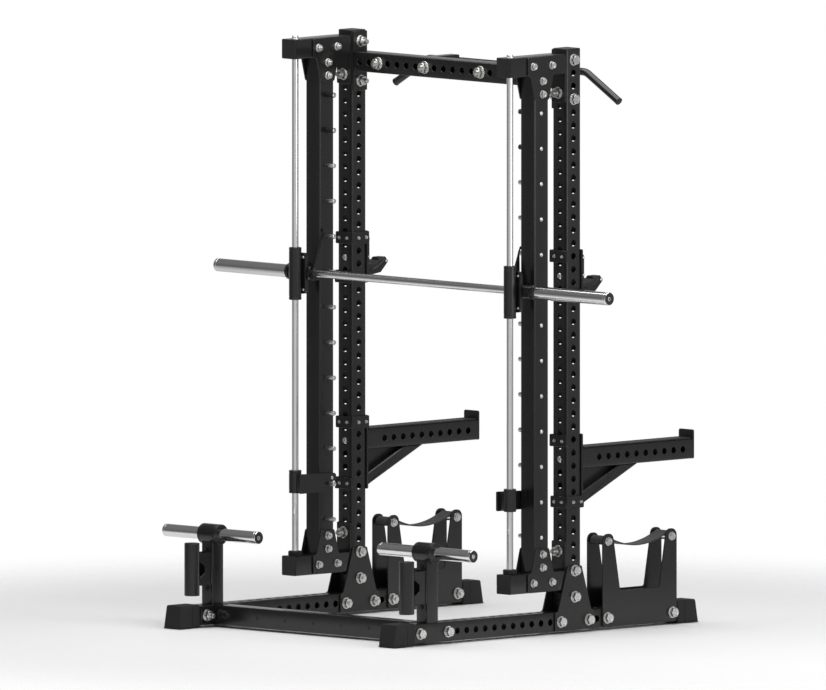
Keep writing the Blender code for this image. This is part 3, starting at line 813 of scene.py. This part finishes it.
def make_brackets(sizes):
    """The bracket above and the one below each column, mirror images but for their flanges."""
    for side, sign in SIDES:
        make_bracket("top_bracket", side, sign, TOP_BRACKET_Z, -1, (2025, 2211), 2062, sizes)
        make_bracket("low_bracket", side, sign, LOW_BRACKET_Z, 1, (165, 351), 312, sizes)


def make_rods():
    """Each guide rod has a stepped rubber bumper at its foot and a thin collar on top."""
    low, high = extent("right_guide_rod", "Z")
    ends = extent("right_guide_rod", "X")
    radius = (ends[1] - ends[0]) / 2
    foot, rim = extent("right_rod_bumper", "Z")
    stations = [(foot, 25), (foot + 2, 27), (foot + 7, 27), (foot + 8.5, 25), (foot + 10, 27), (rim - 3, 27),
                (rim, 24), (rim, radius + 0.6), (foot, radius + 0.6)]
    top = high - 12.5
    for side, sign in SIDES:
        centre = sign * POST_X + 1j * ROD_Y
        rod = bar(centre, "Z", low, high, radius, 1.5, 40)
        emit(f"{side}_rod", "rack", "chrome", [rod], [f"{side}_guide_rod"])
        bumper = lathe(centre, "Z", stations, 40, bore=True)
        emit(f"{side}_bumper", "rack", "rubber", [bumper], [f"{side}_rod_bumper"])
        ring = sleeve(centre, "Z", top, top + 3, 16.5, radius + 0.4, 0.6, 28)
        emit(f"{side}_rod_collar", "rack", "zinc", [ring])


# ---- guided bar: moving parts ----


def grooved_pipe(centre, low, high, end, bore):
    """An upright pipe that has the same profile, as (distance from its end, radius), at both ends."""
    stations = [(low + depth, radius) for depth, radius in end]
    stations += [(high - depth, radius) for depth, radius in end[::-1]]
    return lathe(centre, "Z", stations + [(high, bore), (low, bore)], 40, bore=True)


def make_carriage():
    """On each rod a long housing with end rings, a plate, a hub for the bar, and small fixing screws."""
    low, high = extent("right_slide_bearing", "Z")
    end = [(0, 22), (1, 24), (10, 24), (11, 23), (13, 23), (14, 24)]
    front = ROD_Y + 21.5
    line = [(542, 24.5), (543.5, 26), (622, 26), (623, 24.8), (627, 24.8), (628, 26), (638.5, 26),
            (640, 24.5), (640, 15.6), (542, 15.6)]
    for side, sign in SIDES:
        housing = grooved_pipe(sign * POST_X + 1j * ROD_Y, low - 2, high + 2, end, 19.2)
        plate = block(shown(sign, 545, 610), (front, BAR_Y - 22), (BAR_Z - 78, BAR_Z + 78), 14, 1, "Y")
        hub = lathe(BAR_Y + 1j * BAR_Z, "X", flip(line, sign), 40, bore=True)
        emit(f"{side}_carriage", "carriage", "black_paint", [housing, plate, hub], [f"{side}_slide_housing"])
        spots = points(*[(sign * x, BAR_Z + z) for x in (556, 599) for z in (-62, 62)])
        emit(f"{side}_carriage_screws", "carriage", "zinc", [dome_nuts(spots, "Y", front, -1, 5.0, 3.0)])


def hook_outline():
    """A foot round the bar, a neck that leans back and a finger on top."""
    relative = points((-26, -14), (-19, -27), (31, -27), (40, -14), (37, 118), (37, 148), (44, 155),
                      (59, 155), (59, 162), (55, 166), (44, 166))
    return fillet(relative, 4) + BAR_Y + 1j * BAR_Z


def make_bar():
    """One round bar, and at each end a hook plate and a sleeve with a black ring and a plugged end."""
    low, high = extent("bar_shaft", "X")
    ends = extent("bar_shaft", "Z")
    radius = (ends[1] - ends[0]) / 2
    centre = BAR_Y + 1j * BAR_Z
    emit("bar", "guided_bar", "chrome", [bar(centre, "X", low, high, radius, 1, 48)], ["bar_shaft"])
    thick = extent("right_hook_plate", "X")
    end = extent("right_bar_sleeve", "X")[1]
    line = [(650, 15.6), (650, 24), (651.5, 25), (end - 14, 25), (end - 13.2, 24.4), (end - 12.4, 25),
            (end - 3, 25), (end - 1.2, 23.6), (end - 1.2, 15.6)]
    ring = [(641, 25), (642.5, 26.5), (654, 26.5), (654, 30), (655.5, 31.5), (665.5, 31.5), (667, 30),
            (667, 25.2), (651, 25.2), (651, 15.6), (641, 15.6)]
    for side, sign in SIDES:
        hook = slab(hook_outline(), "X", *shown(sign, *thick), 0.9)
        weld = sleeve(centre, "X", *shown(sign, thick[0] - 5, thick[0] + 0.5), 23, radius + 0.2, 0.8, 32)
        emit(f"{side}_hook", "guided_bar", "grain_paint", [hook, weld], [f"{side}_hook_plate"])
        body = f"{side}_sleeve"
        tube, collar = (lathe(centre, "X", flip(stations, sign), 48, bore=True) for stations in (line, ring))
        plug, screw = end_plug(centre, 0, sign, end, 23.4, 40)
        emit(f"{side}_sleeve_tube", body, "chrome", [tube], [f"{side}_bar_sleeve"])
        emit(f"{side}_sleeve_ring", body, "black_paint", [collar])
        emit(f"{side}_sleeve_plug", body, "black_plastic", [plug])
        emit(f"{side}_sleeve_screw", body, "zinc", [screw])


def make_stops():
    """A block that slides on the rod, and a hook arm that rests on a peg."""
    low, high = extent("right_stop_bush", "Z")
    front = extent("right_stop_arm", "Y")[0]
    seat = PEG_FIRST + PEG_STEP + 9.5
    outline = points((front, low), (COLUMN_Y - 19, low), (COLUMN_Y - 19, seat), (COLUMN_Y + 38, seat),
                     (COLUMN_Y + 38, 541), (COLUMN_Y + 30, 548), (front, 553))
    outline = fillet(outline, 5)
    end = [(0, 22.5), (1.5, 24), (9, 24), (10, 23), (12, 23), (13, 24)]
    thick = extent("right_hook_plate", "X")
    for side, sign in SIDES:
        x = shown(sign, thick[1] - 1, POST_X - 19)
        patches = [
            grooved_pipe(sign * POST_X + 1j * ROD_Y, low, high, end, 16.9),
            block(x, (ROD_Y - 12, ROD_Y + 12), (485, 548), 2, 1, "X"),
            slab(outline, "X", *shown(sign, *thick), 0.9),
        ]
        emit(f"{side}_safety_hook", f"{side}_stop", "black_paint", patches, [f"{side}_stop_arm"])
        screw = dome_nuts(points((COLUMN_Y + 14, 531)), "X", sign * thick[0], -sign, 5.5, 3.5)
        emit(f"{side}_stop_screws", f"{side}_stop", "zinc", [screw])


# ---- attachments on the uprights ----


def clamp(sign, back_z, ears):
    """A back plate, and at each height an ear along one side of the upright with a lip in front."""
    near = HALF + GAP
    x = sign * POST_X
    patches = [slab(round_box(x - 43, x + 43, *back_z, 6), "Y", near, near + PLATE, 0.9)]
    for (low, high), way in ears:
        side = way * sign
        ear = round_box(-near - PLATE, near + PLATE, low + 1, high - 1, 5)
        patches.append(slab(ear, "X", *sorted((x + side * near, x + side * (near + 10))), 0.9))
        lip = round_box(*sorted((x + side * (near + 2), x - side * 43)), low + 2, high - 2, 5)
        patches.append(slab(lip, "Y", -near - PLATE, -near, 0.9))
    return patches


def clamp_screws(sign, ears, sizes):
    """Small hexagon screws on each ear, and on its lip in front."""
    patches = []
    near = HALF + GAP
    x = sign * POST_X
    for (low, high), way in ears:
        side, z = way * sign, (low + high) / 2
        screws = points((-13, z), (28, z))
        patches.append(bolts(screws, "X", x + side * (near + 10), side, sizes, CLAMP_SCREW))
        lip = points((x + side * 20, z), (x - side * 21, z))
        patches.append(bolts(lip, "Y", -near - PLATE, -1, sizes, CLAMP_SCREW))
    return patches


def clamp_pin(x, z):
    """The pin through both holes of the upright, from behind to just out of its front."""
    return bar(x + 1j * z, "Y", -HALF - 5, HALF + 1.5, 10.5, 2, 24)


def make_cups(sizes):
    """A clamp with a floor and a lip whose top corners are cut off, lined with plastic behind and inside."""
    root, face = HALF + 6.3, HALF + GAP + PLATE + 0.3
    floor = points((root, 1285), (126, 1296), (165, 1334), (163, 1342), (142, 1342), (112, 1322), (85, 1312),
                   (root, 1312))
    lining = points((face, 1312.4), (85, 1312.4), (111.8, 1322.5), (136, 1342.2), (119, 1342.2), (94, 1331),
                    (face + 8, 1331), (face + 8, 1345), (face, 1345))
    lip = points((-28, 1330), (28, 1330), (28, 1341), (17, 1353), (-17, 1353), (-28, 1341))
    pad = points((-25, 1334), (25, 1334), (25, 1341), (14, 1353), (-14, 1353), (-25, 1341))
    ears = (((1411, 1461), -1), ((1262, 1312), 1))
    for side, sign in SIDES:
        body, x = f"{side}_jcup", sign * POST_X
        patches = clamp(sign, (1262, 1461), ears)
        patches.append(slab(fillet(floor, 3), "X", x - 30, x + 30, 1.2))
        patches.append(slab(fillet(lip, 1.5) + x, "Y", 148.9, 163, 1.2))
        emit(f"{side}_cup", body, "black_paint", patches, [f"{side}_j_cup"])
        emit(f"{side}_cup_pin", body, "zinc", [clamp_pin(x, CUP_PIN_Z)])
        plastic = [
            slab(fillet(lining, 1.5), "X", x - 29, x + 29, 0.8),
            slab(fillet(pad, 1.5) + x, "Y", 124, 148.7, 1),
            slab(round_box(x - 41, x + 41, 1334, 1440, 7), "Y", face, face + 8, 1),
        ]
        emit(f"{side}_cup_lining", body, "black_plastic", plastic, [f"{side}_j_cup_liner"])
        screws = clamp_screws(sign, ears, sizes)
        edge = points((face + 4, 1428), (face + 4, CUP_PIN_Z))
        for way in (-1, 1):
            screws.append(dome_nuts(points((156, 1337)), "X", x + way * 28, way, 5, 2.5))
            screws.append(dome_nuts(edge, "X", x + way * 41, way, 3.6, 2))
        emit(f"{side}_cup_screws", body, "zinc", screws)


def make_spotters(sizes):
    """A drilled arm on a clamp, with an end stop, a square brace below, a thin web and a lining on top."""
    root, tip = extent("right_spotter_arm", "Y")
    under, top = 625.0, 700.0
    holes = np.arange(139.0, 600.0, PITCH)
    rows = (holes, (), holes, ())
    brace = fillet(points((root, 485), (root, 530), (252, under + 1), (352, under + 1)), 2)
    web = fillet(points((root + 1, 526), (250, under), (root + 1, under + 1)), 2)
    ears = (((708, 757), -1), ((475, 523), 1))
    for side, sign in SIDES:
        body, x = f"{side}_spotter", sign * POST_X
        tube = drilled_tube(POST_X + 1j * (under + HALF), "Y", root, tip - PLATE, rows, sizes.hole / 2)
        patches = [
            mirrored(tube, sign),
            slab(round_box(x - 38.5, x + 38.5, under - 1, 735, 7), "Y", tip - PLATE, tip, 0.9),
            slab(brace, "X", x - 33.5, x + 33.5, 3.5),
            slab(web, "X", x - 3, x + 3, 0.8),
        ]
        emit(f"{side}_arm", body, "grain_paint", patches, [f"{side}_spotter_arm"])
        patches = clamp(sign, (475, 757), ears)
        emit(f"{side}_arm_clamp", body, "black_paint", patches, [f"{side}_arm_bracket"])
        emit(f"{side}_arm_pin", body, "zinc", [clamp_pin(x, ARM_PIN_Z)])
        emit(f"{side}_arm_screws", body, "zinc", clamp_screws(sign, ears, sizes))
        strip = round_box(x - 35, x + 35, *extent("right_arm_liner", "Y"), 4)
        strip = slab(strip, "Z", top + GAP, top + 6, 1.5)
        emit(f"{side}_arm_lining", body, "black_plastic", [strip], [f"{side}_arm_liner"])


# ---- strap cradles and plate horns ----


def make_cradles(sizes):
    """Two U-shaped plates a side, joined by rollers."""
    far, near, top = ROLLER_FAR + 29, ROLLER_NEAR - 29, ROLLER_Z + 29
    outline = points((far, 12), (far, top), (494, top), (455, 146), (245, 146), (206, top), (near, top),
                     (near, 12))
    outline = fillet(outline, np.array([12, 28, 24, 10, 10, 24, 28, 12]), 8)
    spots = points((ROLLER_NEAR, ROLLER_Z), (ROLLER_FAR, ROLLER_Z))
    for side, sign in SIDES:
        for face, ends in (("outer", PLATE_OUT), ("inner", PLATE_IN)):
            plate = slab(outline, "X", *shown(sign, *ends), 0.9)
            emit(f"{side}_{face}_cradle", "rack", "black_paint", [plate], [f"{side}_{face}_cradle_plate"])
        rollers = [bar(spot, "X", *shown(sign, INNER, OUTER), 15, 1) for spot in spots]
        emit(f"{side}_cradle_rollers", "rack", "chrome", rollers)
        nuts = [bolts(spots, "X", sign * PLATE_OUT[1], sign, sizes, CRADLE_BOLT),
                bolts(spots, "X", sign * PLATE_IN[0], -sign, sizes, CRADLE_BOLT, 4)]
        emit(f"{side}_cradle_bolts", "rack", "zinc", nuts)


def strap_line(half_span, middle_radius, lean):
    """A sagging strap's line: a parabola between its touching points, then arcs round the rollers."""
    lean = math.radians(lean)
    touch_y = half_span - middle_radius * math.sin(lean)
    touch_z = ROLLER_Z + middle_radius * math.cos(lean)
    bend = math.tan(lean) / (2 * touch_y)
    y = np.linspace(-touch_y, touch_y, 61)
    sag = y + 1j * (touch_z - bend * (touch_y**2 - y**2))
    wrap = arc(half_span + 1j * ROLLER_Z, middle_radius, 110, -22, 20)
    return np.concatenate([-wrap[::-1].conj(), sag, wrap])


def make_straps():
    """Flat webbing with a rounded edge, carried along the sagging line; its UV is width and length in mm."""
    low_x, high_x = extent("right_cradle_strap", "X")
    half = (high_x - low_x) / 2
    across = np.linspace(1.6 - half, half - 1.6, 24)
    edge = np.array([half - 0.4 - 1.2j, half, half - 0.4 + 1.2j])
    profile = np.concatenate([across - 2.4j, edge, across[::-1] + 2.4j, -edge])
    middle_y = (ROLLER_NEAR + ROLLER_FAR) / 2
    line = strap_line((ROLLER_FAR - ROLLER_NEAR) / 2, 18.1, 26) + middle_y
    length = np.concatenate([[0], np.cumsum(abs(np.diff(line)))])
    uv = np.stack(np.broadcast_arrays(profile.real[None], length[:, None]), -1).reshape(-1, 2)
    for side, sign in SIDES:
        path = place(line, sign * (low_x + high_x) / 2, "X")
        strap = skin(sweep(path, (1, 0, 0), profile))
        emit(f"{side}_strap", "rack", "webbing", [strap], [f"{side}_cradle_strap"], smooth=60, uv=uv)


def make_horns():
    """Short posts with a round hub, and a turned horn through each with a plug and a screw in both ends."""
    horn_z = middle("right_plate_horn", "Z")
    low_x, high_x = extent("right_plate_horn", "X")
    reach = (high_x - low_x) / 2
    low, high = extent("right_horn_post", "Z")
    half_line = [(0, 24), (reach - 13, 24), (reach - 12.2, 23.4), (reach - 11.4, 24), (reach - 3, 24),
                 (reach - 1.2, 22.6), (reach - 1.2, 20.5)]
    line = [(-x, radius) for x, radius in half_line[::-1]] + half_line[1:]
    around = high - horn_z
    rim = [(47, around - 1.5), (45.5, around), (38, around), (37, around - 0.8), (36, around)]
    rings = [(-x, radius) for x, radius in rim] + rim[::-1] + [(47, 24.2), (-47, 24.2)]
    centre = FRONT_Y + 1j * horn_z
    for side, sign in SIDES:
        x = sign * POST_X
        post = plain_tube(x + 1j * FRONT_Y, "Z", low, horn_z + 4, 60, 5)
        hub = lathe(centre, "X", flip(rings, 1, x), 48, bore=True)
        emit(f"{side}_horn_tube", "rack", "black_paint", [post, hub], [f"{side}_horn_post"])
        horn = lathe(centre, "X", flip(line, 1, x), 48)
        emit(f"{side}_horn", "rack", "chrome", [horn], [f"{side}_plate_horn"])
        plugs_and_hole_shades, screws = zip(*(end_plug(centre, x, way, reach, 22.4) for way in (-1, 1)))
        emit(f"{side}_horn_plugs", "rack", "black_plastic", plugs_and_hole_shades)
        emit(f"{side}_horn_screws", "rack", "zinc", screws)


def make_bar_holders(sizes):
    """An upright pipe that is open at both ends, on two notched walls in front of its post."""
    low, high = extent("right_bar_holder", "Z")
    y = extent("right_bar_holder", "Y")[0] + 29
    back = FRONT_Y - 30.3
    near, notch = y + 17, y + 46
    wall = points((near, 158), (back - 3, 158), (back - 3, 283), (near, 283), (near, 253), (notch, 233),
                  (notch, 207), (near, 187))
    wall = fillet(wall, 3)
    for side, sign in SIDES:
        x = sign * POST_X
        patches = [sleeve(x + 1j * y, "Z", low, high, 29, 25, 1.2, 48)]
        patches += [slab(wall, "X", x + start, x + start + 5, 0.7) for start in (-25, 20)]
        patches.append(slab(round_box(x - 28, x + 28, 157, 284, 5), "Y", back - 5, back, 0.9))
        emit(f"{side}_holder", "rack", "black_paint", patches, [f"{side}_bar_holder"])
        screws = bolts(points((x, 298), (x, 143)), "Y", back + 0.3, -1, sizes, HOLDER_SCREW)
        emit(f"{side}_holder_screws", "rack", "black_plastic", [screws])


def finish_kept_nodes():
    """Every CAD node that still shows gets its finish, which fills all its material slots."""
    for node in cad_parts.values():
        if node.name.endswith(("slide_bearing", "stop_bush")):
            for slot in node.material_slots:
                slot.material = finish("black_plastic")


# ---- stage ----


def make_world(look):
    """White to the camera. To everything else a dim studio: bright behind the camera and behind the rack."""
    world = bpy.data.worlds.new("studio")
    bpy.context.scene.world = world
    world.use_nodes = True
    graph = Graph(world.node_tree)
    way = graph.add("ShaderNodeTexCoord", output="Generated")
    x, y, z = (graph.add("ShaderNodeSeparateXYZ", {}, {0: way}, i) for i in range(3))
    facing = ((x - y) * math.sqrt(0.5)).size() ** 1.5
    across = (x + y) * -math.sqrt(0.5)
    horizon = facing * look.bright + (1 - facing) * (look.middle - look.swing * across)
    up = (z * 1.8).clamped()
    down = (z * -2.0).clamped()
    level = horizon * (1 - up) * (1 - down) + look.zenith * up + look.ground * down
    dim = graph.add("ShaderNodeBackground", {}, {"Strength": level})
    white = graph.add("ShaderNodeBackground", {}, {"Strength": 1.0, "Color": (1, 1, 1, 1)})
    seen = graph.add("ShaderNodeLightPath", output="Is Camera Ray")
    mixed = graph.add("ShaderNodeMixShader", {}, {0: seen, 1: dim, 2: white})
    graph.add("ShaderNodeOutputWorld", {}, {"Surface": mixed})


def make_floor():
    """A round pale floor, as rings of points at growing radii."""
    radii = np.array([0.2, 1.2, 2.4, 3.6])
    rings = place(circle(0, 1, 96) * radii[:, None], 0.0, "Z")
    rings[..., 2] = -0.0015
    made, faces = rings.reshape(-1, 3), quads(4, 96).tolist() + [list(range(96))]
    mesh = bpy.data.meshes.new("floor")
    mesh.from_pydata(made.tolist(), [], faces)
    floor = bpy.data.objects.new("floor", mesh)
    bpy.context.scene.collection.objects.link(floor)
    mesh.materials.append(studio_floor("floor_finish", tuple(bpy.context.scene.rack_finishes.floor)))


def make_light(name, spot, aim, size, power):
    """A square soft light that looks at a point."""
    light = bpy.data.lights.new(name, "AREA")
    light.shape = "SQUARE"
    light.size = size
    light.energy = power
    holder = bpy.data.objects.new(name, light)
    holder.location = spot
    holder.rotation_euler = (Vector(aim) - Vector(spot)).to_track_quat("-Z", "Y").to_euler()
    bpy.context.scene.collection.objects.link(holder)


def make_camera():
    """A camera without perspective, 45 degrees round from the guided bar's side and 5 degrees above level."""
    azimuth, elevation = math.radians(45), math.radians(5.03)
    aim = Vector((0, -0.0968, 1.0751))
    back = Vector((math.sin(azimuth) * math.cos(elevation), -math.cos(azimuth) * math.cos(elevation),
                   math.sin(elevation)))
    camera = bpy.data.cameras.new("camera")
    camera.type = "ORTHO"
    camera.ortho_scale = 3.142
    holder = bpy.data.objects.new("camera", camera)
    holder.location = aim + back * 8
    holder.rotation_euler = (-back).to_track_quat("-Z", "Y").to_euler()
    bpy.context.scene.collection.objects.link(holder)
    bpy.context.scene.camera = holder


# ---- the add-on ----


class RackSizes(bpy.types.PropertyGroup):
    """Sizes of the details that the CAD frame leaves open, in millimetres."""

    hole: FloatProperty(name="Hole", description="Diameter of the adjustment holes in mm", default=25,
                        min=15, max=28)
    grip: FloatProperty(name="Grip", description="Diameter of the pull-up bar in mm", default=29,
                        min=24, max=29)
    bolt_scale: FloatProperty(name="Bolts", description="Size of the bolts against standard ones", default=1,
                              min=0.5, max=1.2)


def colour(name, description, *default):
    """A property that holds a colour."""
    return FloatVectorProperty(name=name, description=description, subtype="COLOR", default=default)


class RackFinishes(bpy.types.PropertyGroup):
    """Colours of the finishes, and the brightness of the studio."""

    paint: colour("Paint", "Powder coat", 0.010, 0.010, 0.0105)
    chrome: colour("Chrome", "Rods and bars", 0.80, 0.80, 0.81)
    zinc: colour("Zinc", "Fasteners", 0.74, 0.73, 0.71)
    rubber: colour("Rubber", "Boots and bumpers", 0.010, 0.010, 0.010)
    plastic: colour("Plastic", "Caps, linings and bushes", 0.012, 0.012, 0.0125)
    webbing: colour("Webbing", "Cradle straps", 0.014, 0.014, 0.015)
    floor: colour("Floor", "Studio floor", 0.93, 0.93, 0.93)
    bright: FloatProperty(name="Bright", description="Studio walls in front and behind", default=0.85)
    middle: FloatProperty(name="Middle", description="Studio walls at the sides", default=0.30)
    swing: FloatProperty(name="Swing", description="Difference between the two sides", default=0.16)
    zenith: FloatProperty(name="Zenith", description="Ceiling", default=0.22)
    ground: FloatProperty(name="Ground", description="Light from below", default=0.70)


class RACK_OT_stage(bpy.types.Operator):
    """Sets up the floor, lights, world and camera"""

    bl_idname = "rack.stage"
    bl_label = "Stage"

    def execute(self, context):
        make_camera()
        make_world(context.scene.rack_finishes)
        make_floor()
        make_light("ceiling_light", (0.3, -0.4, 5.0), (0, 0, 0), 5.0, 260)
        make_light("right_light", (4.5, 0.5, 2.2), (0, 0, 1.0), 2.5, 60)
        context.scene.view_settings.view_transform = "Standard"
        return {"FINISHED"}


class RACK_OT_rails(bpy.types.Operator):
    """Builds the drilled side rails and the front beam"""

    bl_idname = "rack.rails"
    bl_label = "Rails"

    def execute(self, context):
        make_rails(context.scene.rack_sizes)
        make_front_beam()
        return {"FINISHED"}


class RACK_OT_boots(bpy.types.Operator):
    """Builds the four rubber boots"""

    bl_idname = "rack.boots"
    bl_label = "Boots"

    def execute(self, context):
        make_boots()
        return {"FINISHED"}


class RACK_OT_gussets(bpy.types.Operator):
    """Builds the base gussets and the frame's bolts"""

    bl_idname = "rack.gussets"
    bl_label = "Gussets and bolts"

    def execute(self, context):
        make_gussets()
        make_base_bolts(context.scene.rack_sizes)
        return {"FINISHED"}


class RACK_OT_uprights(bpy.types.Operator):
    """Builds the drilled uprights with their caps"""

    bl_idname = "rack.uprights"
    bl_label = "Uprights"

    def execute(self, context):
        make_uprights(context.scene.rack_sizes)
        return {"FINISHED"}


class RACK_OT_top(bpy.types.Operator):
    """Builds the top beam and the pull-up bar"""

    bl_idname = "rack.top"
    bl_label = "Top beam and pull-up bar"

    def execute(self, context):
        make_top_beam(context.scene.rack_sizes)
        make_pull_up_bar(context.scene.rack_sizes)
        return {"FINISHED"}


class RACK_OT_columns(bpy.types.Operator):
    """Builds the columns with their pegs"""

    bl_idname = "rack.columns"
    bl_label = "Columns"

    def execute(self, context):
        make_columns()
        return {"FINISHED"}


class RACK_OT_brackets(bpy.types.Operator):
    """Builds the brackets that hold the columns and rods"""

    bl_idname = "rack.brackets"
    bl_label = "Brackets"

    def execute(self, context):
        make_brackets(context.scene.rack_sizes)
        return {"FINISHED"}


class RACK_OT_rods(bpy.types.Operator):
    """Builds the guide rods with their bumpers"""

    bl_idname = "rack.rods"
    bl_label = "Guide rods"

    def execute(self, context):
        make_rods()
        return {"FINISHED"}


class RACK_OT_carriage(bpy.types.Operator):
    """Builds the slide housings and finishes the bearings inside them"""

    bl_idname = "rack.carriage"
    bl_label = "Carriage"

    def execute(self, context):
        make_carriage()
        finish_kept_nodes()
        return {"FINISHED"}


class RACK_OT_bar(bpy.types.Operator):
    """Builds the guided bar with its hooks and sleeves"""

    bl_idname = "rack.bar"
    bl_label = "Guided bar"

    def execute(self, context):
        make_bar()
        return {"FINISHED"}


class RACK_OT_stops(bpy.types.Operator):
    """Builds the safety stops"""

    bl_idname = "rack.stops"
    bl_label = "Safety stops"

    def execute(self, context):
        make_stops()
        return {"FINISHED"}


class RACK_OT_cups(bpy.types.Operator):
    """Builds the cups that hold a free bar"""

    bl_idname = "rack.cups"
    bl_label = "Cups"

    def execute(self, context):
        make_cups(context.scene.rack_sizes)
        return {"FINISHED"}


class RACK_OT_spotters(bpy.types.Operator):
    """Builds the spotter arms"""

    bl_idname = "rack.spotters"
    bl_label = "Spotter arms"

    def execute(self, context):
        make_spotters(context.scene.rack_sizes)
        return {"FINISHED"}


class RACK_OT_cradles(bpy.types.Operator):
    """Builds the strap cradles"""

    bl_idname = "rack.cradles"
    bl_label = "Strap cradles"

    def execute(self, context):
        make_cradles(context.scene.rack_sizes)
        make_straps()
        return {"FINISHED"}


class RACK_OT_horns(bpy.types.Operator):
    """Builds the plate horns and bar holders"""

    bl_idname = "rack.horns"
    bl_label = "Horns and bar holders"

    def execute(self, context):
        make_horns()
        make_bar_holders(context.scene.rack_sizes)
        return {"FINISHED"}


OPERATORS = (
    RACK_OT_stage, RACK_OT_rails, RACK_OT_boots, RACK_OT_gussets, RACK_OT_uprights, RACK_OT_top,
    RACK_OT_columns, RACK_OT_brackets, RACK_OT_rods, RACK_OT_carriage, RACK_OT_bar, RACK_OT_stops,
    RACK_OT_cups, RACK_OT_spotters, RACK_OT_cradles, RACK_OT_horns,
)


class RACK_PT_panel(bpy.types.Panel):
    """Lists the rack's settings and its parts"""

    bl_label = "Guided half rack"
    bl_idname = "RACK_PT_panel"
    bl_space_type = "VIEW_3D"
    bl_region_type = "UI"
    bl_category = "Rack"

    def draw(self, context):
        for group in (context.scene.rack_sizes, context.scene.rack_finishes):
            for name in group.bl_rna.properties.keys()[2:]:
                self.layout.prop(group, name)
        for operator in OPERATORS:
            self.layout.operator(operator.bl_idname)


CLASSES = (RackSizes, RackFinishes, *OPERATORS, RACK_PT_panel)


def register():
    for made in CLASSES:
        bpy.utils.register_class(made)
    bpy.types.Scene.rack_sizes = PointerProperty(type=RackSizes)
    bpy.types.Scene.rack_finishes = PointerProperty(type=RackFinishes)


def unregister():
    del bpy.types.Scene.rack_finishes
    del bpy.types.Scene.rack_sizes
    for made in reversed(CLASSES):
        bpy.utils.unregister_class(made)


def main():
    """Runs every operator in order."""
    register()
    for operator in OPERATORS:
        group, name = operator.bl_idname.split(".")
        getattr(getattr(bpy.ops, group), name)()


if __name__ == "__main__":
    main()
